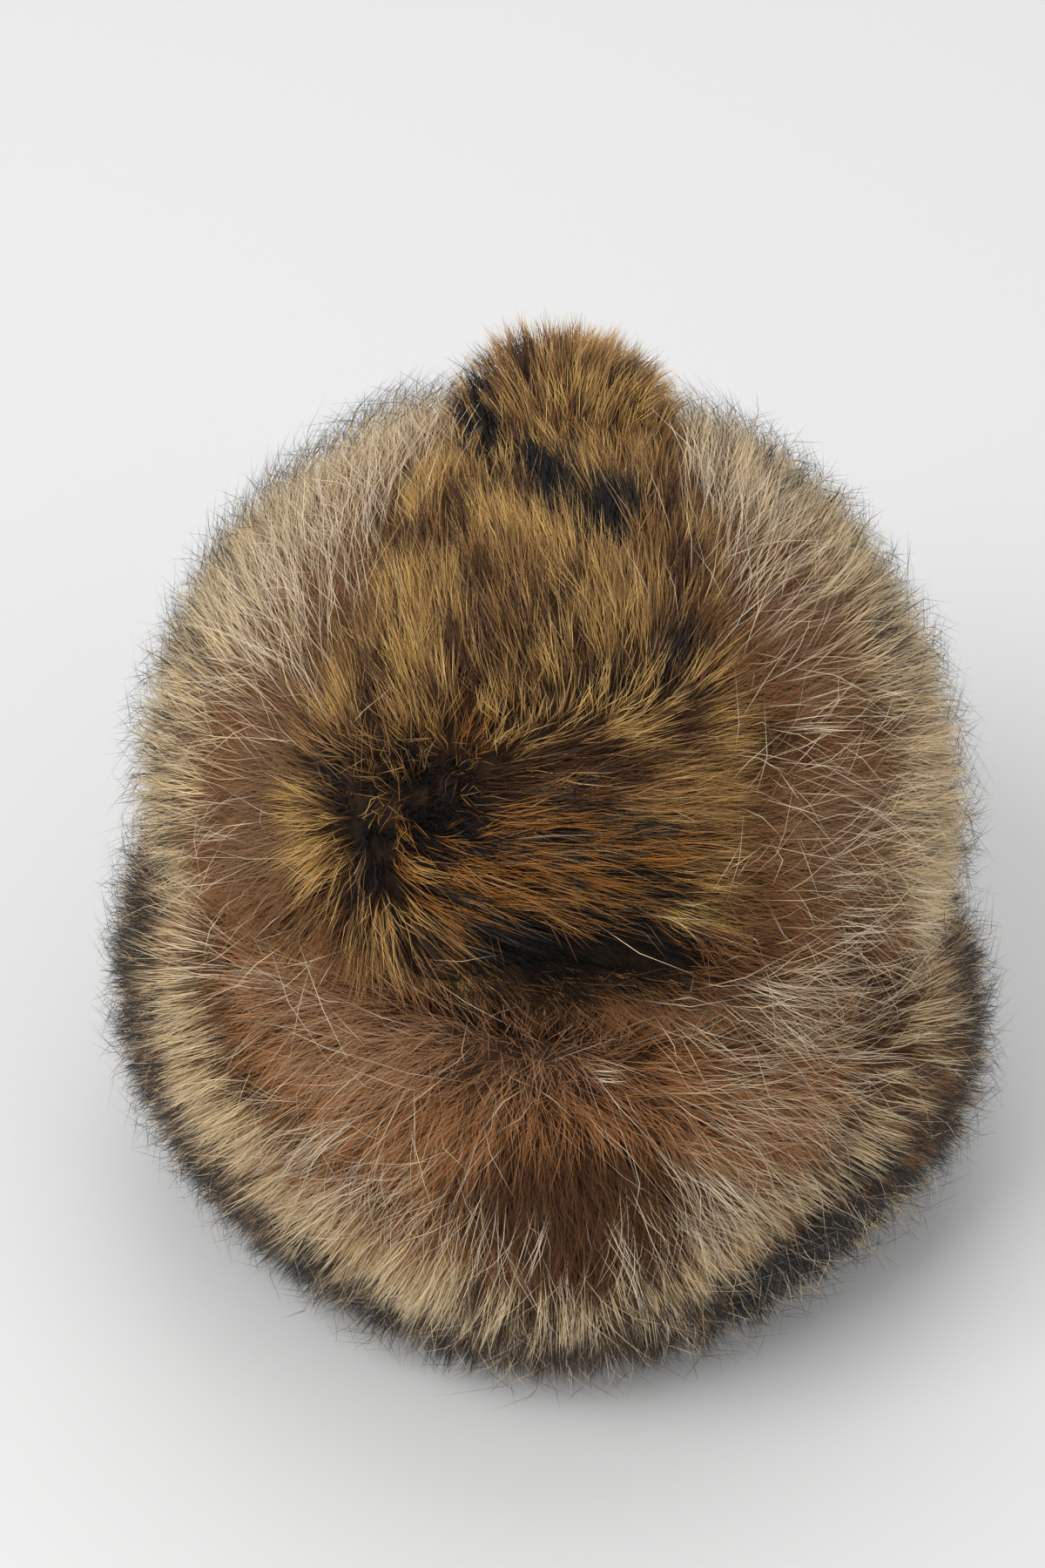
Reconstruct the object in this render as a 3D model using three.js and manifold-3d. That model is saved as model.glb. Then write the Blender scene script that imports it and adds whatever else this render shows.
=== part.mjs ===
// A domed fur hat standing on its rim: a tanned leather crown with an open hollow for the head,
// the crown's long fur, a strip of shorter marked fur over the top, and a deep fur cuff round the rim.
// Millimetres, +Z up, the side that faces the viewer is -Y. The origin is below the middle of the hat.

import * as THREE from "three";
import Module from "manifold-3d";

const wasm = await Module();
wasm.setup();

// The head hollow and the leather
const HEAD_HALF = { x: 83, y: 95 }; // half sizes of the opening for the head
const WALL_TOP = 110; // height where the straight wall turns into the dome
const DOME_RISE = 119.5; // from there to the hollow's highest point
const LEATHER = 2.5; // thickness of the tanned skin
const GAP = 0.3; // clearance between neighbouring pieces
const OPEN_BELOW = 20; // how far the cutting form of the hollow runs past the rim

// The crown's fur: an egg-shaped outline reached by the tips of the hair
const CROWN_CENTRE = new THREE.Vector3(-2, 10, 151);
const CROWN_REACH = { x: 144, y: 153, z: 150 };
const TIP_DEPTH = 14; // how far the dense fur lies under the tips
const WHORL = new THREE.Vector3(-66, -87, 245); // the hair of the crown grows away from here

// The raised round end of the strip, as a swelling around one direction from the crown's centre
const KNOB = { toward: new THREE.Vector3(6, 70, 110).normalize(), spread: 0.2, height: 19 };
const STRIP_DEPTH = 9; // how far the short fur of the strip lies under the crown's outline
const STRIP_TIP_DEPTH = 4; // how far its dense fur lies under its own tips

// The strip's outline seen from above, from its overhanging lip to its end behind the knob
const STRIP_OUTLINE = [
  { y: -126, middle: 8, halfWidth: 32 },
  { y: -116, middle: 7, halfWidth: 44 },
  { y: -80, middle: 0, halfWidth: 56 },
  { y: -10, middle: -3, halfWidth: 57 },
  { y: 40, middle: 1, halfWidth: 46 },
  { y: 80, middle: 5, halfWidth: 34 },
  { y: 118, middle: 7, halfWidth: 28 },
  { y: 132, middle: 7, halfWidth: 14 },
];

// The cuff: its outline from above, and the tilted plane where its fur meets the crown's
const CUFF_REACH = { x: 158, y: 158 };
const CUFF_NARROWING = 0.075; // share of the reach that the cuff loses at its front corners
const PARTING = { height: 150, slopeX: 0.15, slopeY: 0.32 };
const RIM_WIDTH = 12; // flat ring of folded leather that the cuff stands on

// The cuff's section, from the outer edge of that ring up to its top: out is a share of the way
// from the leather to the dense fur's widest reach, up a share of the height to the parting
const CUFF_SECTION = [
  { out: 0.5, up: 0.1 },
  { out: 0.83, up: 0.24 },
  { out: 1.0, up: 0.44 },
  { out: 0.96, up: 0.64 },
  { out: 0.8, up: 0.81 },
  { out: 0.45, up: 0.92 },
  { out: -0.1, up: 0.86 },
];

// The locks of hair
const CROWN_LOCK = { count: 230, length: 50, width: 33, thick: 15 };
const STRIP_LOCK = { count: 190, length: 34, width: 18, thick: 7 };
const CUFF_LOCK = { perRow: 25, length: 46, width: 32, thick: 16 };
const SINK = 2; // how deep each lock is rooted in the dense fur
const ROOT_MARGIN = 6; // how far each root keeps from the edge of its piece
const TIP_SPREAD = 5; // how much the tips differ in height
const LOCK_SIDES = 3;
const LOCK_RINGS = [
  { along: 0.1, share: 1 },
  { along: 0.55, share: 0.7 },
];
const FLOOR_CLEARANCE = 8; // the lowest that a lock of the cuff hangs

// The cuff's rows of locks: along is a place on the section above, hang how far the tips fall
const CUFF_ROWS = [
  { along: 0.7, hang: 0.15 },
  { along: 1.7, hang: 0.6 },
  { along: 2.7, hang: 0.8 },
  { along: 3.7, hang: 0.6 },
];

// Fineness of the facets
const COLUMNS = 28;
const DOME_ROWS = 6;
const FUR_ROWS = 12;
const STRIP_STEPS = 26;

/** Repeatable random numbers from 0 to 1. */
function seededRandom(seed) {
  let state = seed;
  return () => {
    state = (state + 0x6d2b79f5) | 0;
    let t = Math.imul(state ^ (state >>> 15), 1 | state);
    t = (t + Math.imul(t ^ (t >>> 7), 61 | t)) ^ t;
    return ((t ^ (t >>> 14)) >>> 0) / 4294967296;
  };
}

/** A solid from a list of points and of triangles between them. */
function solidFrom(points, triangles) {
  const vertProperties = new Float32Array(points.flatMap((p) => [p.x, p.y, p.z]));
  const triVerts = new Uint32Array(triangles.flat());
  return new wasm.Manifold(new wasm.Mesh({ numProp: 3, vertProperties, triVerts }));
}

/** Adds the band of triangles between two loops that start at two places in the list of points. */
function addBand(triangles, lower, upper, sides) {
  for (let j = 0; j < sides; j++) {
    const next = (j + 1) % sides;
    triangles.push([lower + j, lower + next, upper + next], [lower + j, upper + next, upper + j]);
  }
}

/** A solid of loops stacked between a first and a last point, such as a dome or a lock. */
function stackedSolid(loops, first, last) {
  const sides = loops[0].length;
  const points = [first, ...loops.flat(), last];
  const triangles = [];
  for (let i = 0; i + 1 < loops.length; i++) {
    addBand(triangles, 1 + i * sides, 1 + (i + 1) * sides, sides);
  }
  const top = 1 + (loops.length - 1) * sides;
  for (let j = 0; j < sides; j++) {
    const next = (j + 1) % sides;
    triangles.push([0, 1 + next, 1 + j], [top + j, top + next, points.length - 1]);
  }
  return solidFrom(points, triangles);
}

/** A ring-shaped solid from one closed section for each column round the axis. */
function ringSolid(sections) {
  const sides = sections[0].length;
  const triangles = [];
  for (let i = 0; i < sections.length; i++) {
    addBand(triangles, ((i + 1) % sections.length) * sides, i * sides, sides);
  }
  return solidFrom(sections.flat(), triangles);
}

/** An oval loop round the axis. */
function ovalLoop(halfX, halfY, z) {
  return Array.from({ length: COLUMNS }, (_, j) => {
    const angle = (2 * Math.PI * j) / COLUMNS;
    return new THREE.Vector3(halfX * Math.cos(angle), halfY * Math.sin(angle), z);
  });
}

/** The form of the head hollow, grown outwards, as a solid that starts at a given height. */
function headForm(grow, bottom) {
  const loops = [ovalLoop(HEAD_HALF.x + grow, HEAD_HALF.y + grow, bottom)];
  for (let i = 0; i < DOME_ROWS; i++) {
    const rise = (i / DOME_ROWS) * (Math.PI / 2);
    const narrowing = Math.cos(rise);
    const z = WALL_TOP + (DOME_RISE + grow) * Math.sin(rise);
    loops.push(ovalLoop((HEAD_HALF.x + grow) * narrowing, (HEAD_HALF.y + grow) * narrowing, z));
  }
  const top = new THREE.Vector3(0, 0, WALL_TOP + DOME_RISE + grow);
  return stackedSolid(loops, new THREE.Vector3(0, 0, bottom), top);
}

/** How far an oval's edge lies from its middle, toward an angle. */
function ovalReach(halfX, halfY, angle) {
  return 1 / Math.hypot(Math.cos(angle) / halfX, Math.sin(angle) / halfY);
}

/** How far the leather's outer face lies from the axis along the straight wall, toward an angle. */
function leatherReach(angle) {
  return ovalReach(HEAD_HALF.x + LEATHER, HEAD_HALF.y + LEATHER, angle);
}

/** How far the tips of the crown's fur lie from the crown's centre, toward a direction. */
function crownReach(toward) {
  return 1 / Math.hypot(toward.x / CROWN_REACH.x, toward.y / CROWN_REACH.y, toward.z / CROWN_REACH.z);
}

/** How far the strip's face lies from the crown's centre, with the knob's swelling. */
function stripReach(toward) {
  const away = toward.angleTo(KNOB.toward) / KNOB.spread;
  return crownReach(toward) - STRIP_DEPTH + KNOB.height * Math.exp(-0.5 * away ** 3);
}

/** A solid round the crown's centre whose face lies as far out as a function says. */
function crownForm(reachAt) {
  const at = (toward) => CROWN_CENTRE.clone().addScaledVector(toward, reachAt(toward));
  const loops = [];
  for (let i = 1; i < FUR_ROWS; i++) {
    const tilt = Math.PI * (1 - i / FUR_ROWS);
    loops.push(ovalLoop(Math.sin(tilt), Math.sin(tilt), Math.cos(tilt)).map(at));
  }
  return stackedSolid(loops, at(new THREE.Vector3(0, 0, -1)), at(new THREE.Vector3(0, 0, 1)));
}

/** Height of the parting between the crown's fur and the cuff's at a place seen from above. */
function partingHeight(x, y) {
  return PARTING.height - PARTING.slopeX * x - PARTING.slopeY * y;
}

/** Everything above the parting, or everything below it, out to well past the hat. */
function partingZone(above) {
  const far = 4 * CUFF_REACH.x;
  const corners = [[-far, -far], [far, -far], [far, far], [-far, far]];
  const shift = above ? GAP : 0;
  const slope = corners.map(([x, y]) => new THREE.Vector3(x, y, partingHeight(x, y) + shift));
  const end = corners.map(([x, y]) => new THREE.Vector3(x, y, above ? 2 * far : -far));
  const middle = (loop) => loop.reduce((sum, p) => sum.add(p), new THREE.Vector3()).divideScalar(4);
  const loops = above ? [slope, end] : [end, slope];
  return stackedSolid(loops, middle(loops[0]), middle(loops[1]));
}

/** The upright column of space that holds the strip, grown outwards. */
function stripZone(grow) {
  const right = STRIP_OUTLINE.map((row) => new THREE.Vector2(row.middle + row.halfWidth, row.y));
  const left = STRIP_OUTLINE.map((row) => new THREE.Vector2(row.middle - row.halfWidth, row.y));
  const curve = new THREE.SplineCurve([...right, ...left.reverse(), right[0]]);
  const outline = curve.getSpacedPoints(STRIP_STEPS).slice(0, -1);
  const grown = outline.map((p) => p.addScaledVector(p.clone().normalize(), grow));
  const ends = [WALL_TOP, 2 * CROWN_CENTRE.z + KNOB.height];
  const loops = ends.map((z) => grown.map((p) => new THREE.Vector3(p.x, p.y, z)));
  return stackedSolid(loops, ...ends.map((z) => new THREE.Vector3(0, 0, z)));
}

/** One lock: a bent, tapering spike from its root to its tip, broad across the way that it lies. */
function lockSolid(root, tip, outward, size) {
  const start = root.clone().addScaledVector(outward, -SINK);
  const bend = root.clone().lerp(tip, 0.5).addScaledVector(outward, size.thick * 0.4);
  const axis = new THREE.QuadraticBezierCurve3(start, bend, tip);
  const across = new THREE.Vector3().crossVectors(outward, tip.clone().sub(start)).normalize();
  const loops = LOCK_RINGS.map(({ along, share }) => {
    const lift = new THREE.Vector3().crossVectors(axis.getTangent(along), across);
    return Array.from({ length: LOCK_SIDES }, (_, j) => {
      const turn = Math.PI / 2 + (2 * Math.PI * j) / LOCK_SIDES;
      return axis
        .getPoint(along)
        .addScaledVector(across, (Math.cos(turn) * share * size.width) / 2)
        .addScaledVector(lift, (Math.sin(turn) * share * size.thick) / 2);
    });
  });
  return stackedSolid(loops, start, tip);
}

/** Directions spread evenly over a sphere. */
function evenDirections(count) {
  const golden = Math.PI * (3 - Math.sqrt(5));
  return Array.from({ length: count }, (_, i) => {
    const z = 1 - (2 * (i + 0.5)) / count;
    const flat = Math.sqrt(1 - z * z);
    return new THREE.Vector3(flat * Math.cos(i * golden), flat * Math.sin(i * golden), z);
  });
}

/** The way the crown's hair lies at a place: along the face, away from the whorl. */
function crownFlow(place, outward) {
  const away = place.clone().sub(WHORL);
  away.addScaledVector(outward, -away.dot(outward));
  return away.normalize();
}

/** Locks over a part of the crown: where the hair is rooted, how long it is and how it lies. */
function crownLocks(size, rootReach, tipReach, random) {
  const locks = [];
  for (const toward of evenDirections(size.count)) {
    const root = CROWN_CENTRE.clone().addScaledVector(toward, rootReach(toward));
    const lie = crownFlow(root, toward);
    const end = root.clone().addScaledVector(lie, size.length * (0.8 + 0.4 * random()));
    const endToward = end.sub(CROWN_CENTRE).normalize();
    const tip = CROWN_CENTRE.clone().addScaledVector(endToward, tipReach(endToward) - TIP_SPREAD * random());
    locks.push({ root, solid: () => lockSolid(root, tip, toward, size) });
  }
  return locks;
}

/** Joins locks that are rooted inside their zone to a body, each cut to the zone. */
function withLocks(body, locks, isInside, cut) {
  return locks.filter((lock) => isInside(lock.root)).reduce((all, lock) => all.add(cut(lock.solid())), body);
}

/** Whether a place seen from above lies in the strip's outline, grown outwards. */
function inStrip(place, grow) {
  const rows = STRIP_OUTLINE;
  const i = rows.findIndex((row, k) => k + 1 < rows.length && place.y >= row.y && place.y < rows[k + 1].y);
  if (i < 0) {
    return false;
  }
  const share = (place.y - rows[i].y) / (rows[i + 1].y - rows[i].y);
  const middle = THREE.MathUtils.lerp(rows[i].middle, rows[i + 1].middle, share);
  const halfWidth = THREE.MathUtils.lerp(rows[i].halfWidth, rows[i + 1].halfWidth, share);
  return Math.abs(place.x - middle) < halfWidth + grow;
}

const above = partingZone(true);
const below = partingZone(false);
const leatherForm = headForm(LEATHER + GAP, -OPEN_BELOW);
const overParting = (p) => p.z - partingHeight(p.x, p.y) > ROOT_MARGIN;

/** The tanned leather of the crown, hollow and open below. */
function crownLeather() {
  return headForm(LEATHER, 0).subtract(headForm(0, -OPEN_BELOW));
}

/** The crown's long fur, with the strip's place left free. */
function crownFur() {
  const random = seededRandom(11);
  const denseReach = (toward) => crownReach(toward) - TIP_DEPTH;
  const stripPlace = stripZone(GAP);
  const cut = (solid) => solid.intersect(above).subtract(stripPlace);
  const body = cut(crownForm(denseReach)).subtract(leatherForm);
  const locks = crownLocks(CROWN_LOCK, denseReach, crownReach, random);
  return withLocks(body, locks, (p) => overParting(p) && !inStrip(p, ROOT_MARGIN), cut);
}

/** The strip of shorter marked fur, from the lip over the crown to the knob. */
function crownStrip() {
  const random = seededRandom(5);
  const denseReach = (toward) => stripReach(toward) - STRIP_TIP_DEPTH;
  const zone = stripZone(0);
  const cut = (solid) => solid.intersect(above).intersect(zone);
  const body = cut(crownForm(denseReach)).subtract(leatherForm);
  const locks = crownLocks(STRIP_LOCK, denseReach, stripReach, random);
  return withLocks(body, locks, (p) => overParting(p) && inStrip(p, -ROOT_MARGIN), cut);
}

/** How far the tips of the cuff's fur lie from the axis, toward an angle: less at the front corners. */
function cuffReach(angle) {
  const corner = Math.max(0, -Math.sin(angle)) * Math.sin(2 * angle) ** 2;
  return ovalReach(CUFF_REACH.x, CUFF_REACH.y, angle) * (1 - CUFF_NARROWING * corner);
}

/** A place on the cuff's dense fur: an angle round the axis and a place along the section. */
function cuffPlace(angle, along) {
  const reach = cuffReach(angle) - TIP_DEPTH;
  const leather = leatherReach(angle);
  const top = partingHeight(reach * Math.cos(angle), reach * Math.sin(angle));
  const i = Math.min(CUFF_SECTION.length - 2, Math.floor(along));
  const share = along - i;
  const out = THREE.MathUtils.lerp(CUFF_SECTION[i].out, CUFF_SECTION[i + 1].out, share);
  const up = THREE.MathUtils.lerp(CUFF_SECTION[i].up, CUFF_SECTION[i + 1].up, share);
  const radius = leather + out * (reach - leather);
  return new THREE.Vector3(radius * Math.cos(angle), radius * Math.sin(angle), up * top);
}

/** The cuff's closed section at an angle, with its foot on the flat ring. */
function cuffSection(angle) {
  const at = (radius, z) => new THREE.Vector3(radius * Math.cos(angle), radius * Math.sin(angle), z);
  const leather = leatherReach(angle);
  const inner = leather - LEATHER;
  const outline = CUFF_SECTION.map((_, along) => cuffPlace(angle, along));
  return [at(inner, 0), at(leather + RIM_WIDTH, 0), ...outline];
}

/** The fur cuff, standing on its folded edge. */
function cuff() {
  const random = seededRandom(23);
  const angles = Array.from({ length: COLUMNS }, (_, j) => (2 * Math.PI * j) / COLUMNS);
  const cut = (solid) => solid.intersect(below);
  const body = cut(ringSolid(angles.map(cuffSection))).subtract(leatherForm);
  const step = (2 * Math.PI) / CUFF_LOCK.perRow;
  const locks = CUFF_ROWS.flatMap(({ along, hang }, row) =>
    Array.from({ length: CUFF_LOCK.perRow }, (_, j) => {
      const angle = step * (j + (row % 2) / 2 + 0.4 * (random() - 0.5));
      const root = cuffPlace(angle, along);
      const nearby = 0.05;
      const round = cuffPlace(angle + nearby, along).sub(cuffPlace(angle - nearby, along));
      const up = cuffPlace(angle, along + nearby).sub(cuffPlace(angle, along - nearby)).normalize();
      const outward = round.cross(up).normalize();
      const tip = root.clone().addScaledVector(outward, TIP_DEPTH - TIP_SPREAD * random());
      tip.addScaledVector(up, -hang * CUFF_LOCK.length * (0.8 + 0.4 * random()));
      tip.z = Math.max(tip.z, FLOOR_CLEARANCE + TIP_SPREAD * random());
      return { root, solid: () => lockSolid(root, tip, outward, CUFF_LOCK) };
    }),
  );
  return withLocks(body, locks, () => true, (solid) => cut(solid).subtract(leatherForm));
}

const longFur = { roughness: 0.9, metalness: 0 };
const MATERIALS = {
  crown: new THREE.MeshStandardMaterial({ color: "#b49a7c", roughness: 0.8, metalness: 0 }),
  crown_fur: new THREE.MeshStandardMaterial({ color: "#7d5f48", ...longFur }),
  crown_strip: new THREE.MeshStandardMaterial({ color: "#a07848", ...longFur }),
  cuff: new THREE.MeshStandardMaterial({ color: "#8a6b50", ...longFur }),
};

/** A named mesh of a solid. */
function namedMesh(name, solid) {
  const { vertProperties, triVerts } = solid.getMesh();
  const geometry = new THREE.BufferGeometry();
  geometry.setAttribute("position", new THREE.Float32BufferAttribute(vertProperties, 3));
  geometry.setIndex(Array.from(triVerts));
  geometry.computeVertexNormals();
  const mesh = new THREE.Mesh(geometry, MATERIALS[name]);
  mesh.name = name;
  return mesh;
}

const hat = new THREE.Group();
hat.name = "fur_hat";
hat.add(namedMesh("crown", crownLeather()));
hat.add(namedMesh("crown_fur", crownFur()));
hat.add(namedMesh("crown_strip", crownStrip()));
hat.add(namedMesh("cuff", cuff()));

// The middle of the hat's box stands over the origin
const box = new THREE.Box3().setFromObject(hat);
const centre = box.getCenter(new THREE.Vector3());
hat.position.set(-centre.x, -centre.y, -box.min.z);

export default hat;
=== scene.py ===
"""Looks of a domed fur hat that stands on its rim: fine leather, dense pelts and hair in strands.

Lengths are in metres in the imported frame: +Z up, the side that faces the viewer is -Y. The hat's own
sizes are given round its upright axis, and each mesh is moved onto that axis when it is made.
"""

import logging
import math
from collections.abc import Callable
from dataclasses import dataclass
from enum import Enum

import bpy
import numpy as np
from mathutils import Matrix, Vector

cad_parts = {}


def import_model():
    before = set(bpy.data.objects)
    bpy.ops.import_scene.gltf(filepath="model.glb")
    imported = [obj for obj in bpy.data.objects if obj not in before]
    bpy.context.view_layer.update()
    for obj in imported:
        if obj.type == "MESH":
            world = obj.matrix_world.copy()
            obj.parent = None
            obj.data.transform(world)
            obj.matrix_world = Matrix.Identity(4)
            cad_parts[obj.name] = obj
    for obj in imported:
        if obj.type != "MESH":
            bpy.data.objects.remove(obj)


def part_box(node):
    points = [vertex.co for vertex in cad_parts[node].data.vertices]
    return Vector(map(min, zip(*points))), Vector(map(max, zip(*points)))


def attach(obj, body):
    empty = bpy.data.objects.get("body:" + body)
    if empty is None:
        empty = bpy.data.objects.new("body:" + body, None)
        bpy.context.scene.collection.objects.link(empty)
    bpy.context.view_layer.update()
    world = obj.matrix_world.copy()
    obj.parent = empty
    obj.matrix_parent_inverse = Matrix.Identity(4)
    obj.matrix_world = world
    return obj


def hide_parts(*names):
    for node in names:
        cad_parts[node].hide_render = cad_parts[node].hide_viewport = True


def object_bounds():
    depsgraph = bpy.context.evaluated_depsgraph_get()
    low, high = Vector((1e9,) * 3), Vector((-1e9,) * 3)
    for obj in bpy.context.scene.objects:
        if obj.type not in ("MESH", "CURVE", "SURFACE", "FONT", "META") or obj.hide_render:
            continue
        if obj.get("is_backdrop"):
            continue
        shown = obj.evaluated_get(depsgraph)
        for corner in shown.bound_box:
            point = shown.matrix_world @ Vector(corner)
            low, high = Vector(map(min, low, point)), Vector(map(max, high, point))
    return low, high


BODY = "root"
HAIR_MAP = "OFBake"
TINY = 1e-9
SLANTED = (0.31, 0.17, 0.93)
HALVINGS = 40
SIDE_ROOM = 0.008
TOP_ROOM = 0.014
FLOOR_GAP = 0.0008
CROWN_PROBES = 40000
CUFF_PROBES = 20000
CROWN_PROBE_HAIR = (0.040, 0.0255)
CUFF_PROBE_HAIR = (0.042, 0.0265)
OUTLINE_SEED = 7
OUTLINE_SHARE = 0.985
WOOL_BLOTCH = 0.05
WOOL_SPECKLE = 0.25
PINKISH_ABOVE = 0.8

Array = np.ndarray
Colour = tuple[float, float, float]
Place = tuple[float, float, float]

log = logging.getLogger("fur_hat")


def unit(vectors: Array) -> Array:
    """Rows scaled to a length of one."""
    return vectors / np.maximum(np.linalg.norm(vectors, axis=-1, keepdims=True), TINY)


def dot(first: Array, second: Array) -> Array:
    """Row by row products, kept as a column."""
    return np.sum(first * second, axis=-1, keepdims=True)


def smooth_step(value: Array, low: float, high: float) -> Array:
    """A soft step from 0 at low to 1 at high."""
    share = np.clip((value - low) / (high - low), 0.0, 1.0)
    return share * share * (3.0 - 2.0 * share)


def linear(red: int, green: int, blue: int) -> Colour:
    """A colour given in screen values from 0 to 255, as the shader's linear values."""
    parts = (red, green, blue)
    return tuple(((c / 255 + 0.055) / 1.055) ** 2.4 if c > 10 else c / 255 / 12.92 for c in parts)


def halve(low: Array, high: Array, holds: Callable[[Array], Array]) -> tuple[Array, Array]:
    """Narrows ranges by halves down to the place where a test stops holding.

    Args:
        low: Where the test holds.
        high: Where it doesn't.
        holds: The test, which gives true or false for each value.

    Returns:
        The last value at which it holds, and the first at which it doesn't.
    """
    for _ in range(HALVINGS):
        middle = (low + high) / 2
        held = holds(middle)
        low, high = np.where(held, middle, low), np.where(held, high, middle)
    return low, high


def ways_along(outward: Array) -> tuple[Array, Array]:
    """Two ways along a face, square to the way out of it in each row."""
    first = unit(np.cross(outward, SLANTED))
    return first, np.cross(outward, first)


def ripple(places: Array, wavelength: float, seed: int) -> Array:
    """A smooth random field over places, mostly between -1 and 1.

    Args:
        places: Points, one row each.
        wavelength: Typical size of the field's spots.
        seed: Picks the field.

    Returns:
        One value for each point.
    """
    rng = np.random.default_rng(seed)
    waves = unit(rng.normal(size=(9, 3))) * (2 * math.pi / wavelength) * rng.uniform(0.6, 1.5, (9, 1))
    return np.sin(places @ waves.T + rng.uniform(0, 2 * math.pi, 9)).mean(axis=1) * 2.2


@dataclass(frozen=True)
class HatForm:
    """The outlines that the leather and the fur fill, round the hat's upright axis."""

    axis: tuple[float, float]
    low: Array
    high: Array
    head_half: tuple[float, float] = (0.083, 0.095)
    wall_top: float = 0.110
    dome_rise: float = 0.1195
    leather: float = 0.0025
    gap: float = 0.0004
    crown_centre: Place = (-0.002, 0.010, 0.151)
    crown_half: Place = (0.144, 0.153, 0.150)
    knob_toward: Place = (0.046, 0.536, 0.843)
    knob_spread: float = 0.2
    knob_height: float = 0.019
    strip_depth: float = 0.009
    strip_rows: tuple[tuple[float, float, float], ...] = (
        (-0.109, -0.001, 0.041),
        (-0.101, -0.005, 0.049),
        (-0.080, -0.015, 0.065),
        (-0.055, -0.014, 0.063),
        (-0.030, -0.006, 0.057),
        (-0.010, -0.003, 0.057),
        (0.040, 0.001, 0.046),
        (0.080, 0.005, 0.034),
        (0.118, 0.007, 0.028),
        (0.132, 0.007, 0.014),
    )
    cuff_half: tuple[float, float] = (0.158, 0.158)
    cuff_narrowing: float = 0.075
    cuff_tip_depth: float = 0.014
    parting_at_axis: float = 0.150
    parting_slope: tuple[float, float] = (0.15, 0.32)
    rim_width: float = 0.012
    limit_spread: float = 0.006
    cuff_section: tuple[tuple[float, float], ...] = (
        (0.5, 0.1),
        (0.83, 0.24),
        (1.0, 0.44),
        (0.96, 0.64),
        (0.8, 0.81),
        (0.45, 0.92),
        (-0.1, 0.86),
    )

    def limited(self, strands: Array) -> Array:
        """Shortens strands about their roots where they would leave the hat's limits.

        Args:
            strands: The points of each strand from root to tip.

        Returns:
            The points, all within the limits.
        """
        root, way = strands[:, :1], strands - strands[:, :1]
        spread = (np.arange(len(strands)) * 0.618034 % 1.0)[:, None, None] * self.limit_spread
        room = np.where(way > 0.0, self.high - spread - root, self.low + spread - root)
        share = np.where(np.abs(way) > TINY, room / np.where(np.abs(way) > TINY, way, 1.0), 1.0)
        share = np.clip(share.min(axis=(1, 2)), 0.1, 1.0)
        return root + way * share[:, None, None]

    @property
    def centre(self) -> Array:
        """The crown's centre as an array."""
        return np.array(self.crown_centre)

    @property
    def knob_place(self) -> Array:
        """The middle of the raised knob."""
        return self.centre + unit(np.array(self.knob_toward)) * self.crown_half[2]

    def crown_reach(self, toward: Array) -> Array:
        """How far the tips of the crown's fur lie from the crown's centre, as a column."""
        return 1.0 / np.linalg.norm(toward / np.array(self.crown_half), axis=-1, keepdims=True)

    def strip_reach(self, toward: Array) -> Array:
        """How far the strip's tips lie from the crown's centre, with the knob's swelling, as a column.

        Args:
            toward: Directions of length one from the crown's centre.

        Returns:
            One distance for each direction.
        """
        knob = unit(np.array(self.knob_toward))
        away = np.arccos(np.clip(toward @ knob, -1.0, 1.0))[..., None] / self.knob_spread
        return self.crown_reach(toward) - self.strip_depth + self.knob_height * np.exp(-0.5 * away**3)

    def parting_height(self, places: Array) -> Array:
        """Height of the parting between the crown's fur and the cuff's above each place."""
        slope_x, slope_y = self.parting_slope
        return self.parting_at_axis - places[..., 0] * slope_x - places[..., 1] * slope_y

    def strip_margin(self, places: Array) -> Array:
        """How far inside the strip's outline each place lies seen from above, negative outside it.

        Args:
            places: Points, one row each.

        Returns:
            One distance for each point.
        """
        rows = np.array(self.strip_rows)
        x, y = places[..., 0], places[..., 1]
        middle = np.interp(y, rows[:, 0], rows[:, 1])
        half = np.interp(y, rows[:, 0], rows[:, 2])
        side = half - np.abs(x - middle)
        ends = np.minimum(y - rows[0, 0], rows[-1, 0] - y)
        return np.minimum(side, ends)

    def leather_radius(self, angle: Array, height: Array) -> Array:
        """How far the leather's outer face lies from the axis, toward an angle and at a height.

        Args:
            angle: Angles round the axis.
            height: Heights over the floor.

        Returns:
            One distance for each pair.
        """
        half_x, half_y = (half + self.leather for half in self.head_half)
        wall = 1.0 / np.hypot(np.cos(angle) / half_x, np.sin(angle) / half_y)
        rise = np.clip((height - self.wall_top) / (self.dome_rise + self.leather), 0.0, 1.0)
        return wall * np.sqrt(1.0 - rise**2)

    def cuff_place(self, angle: Array, along: Array) -> Array:
        """Points on the face of the cuff's dense fur.

        Args:
            angle: Angles round the axis.
            along: Places along the cuff's section, from its foot to its top.

        Returns:
            The points, one row for each pair.
        """
        rows = np.array(self.cuff_section)
        steps = np.arange(len(rows))
        out = np.interp(along, steps, rows[:, 0])
        up = np.interp(along, steps, rows[:, 1])
        reach = 1.0 / np.hypot(np.cos(angle) / self.cuff_half[0], np.sin(angle) / self.cuff_half[1])
        corner = np.maximum(0.0, -np.sin(angle)) * np.sin(2 * angle) ** 2
        reach = reach * (1.0 - self.cuff_narrowing * corner) - self.cuff_tip_depth
        leather = self.leather_radius(angle, np.zeros_like(angle))
        widest = np.stack([reach * np.cos(angle), reach * np.sin(angle), 0 * angle], axis=-1)
        radius = leather + out * (reach - leather)
        level = up * self.parting_height(widest)
        return np.stack([radius * np.cos(angle), radius * np.sin(angle), level], axis=-1)

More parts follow.
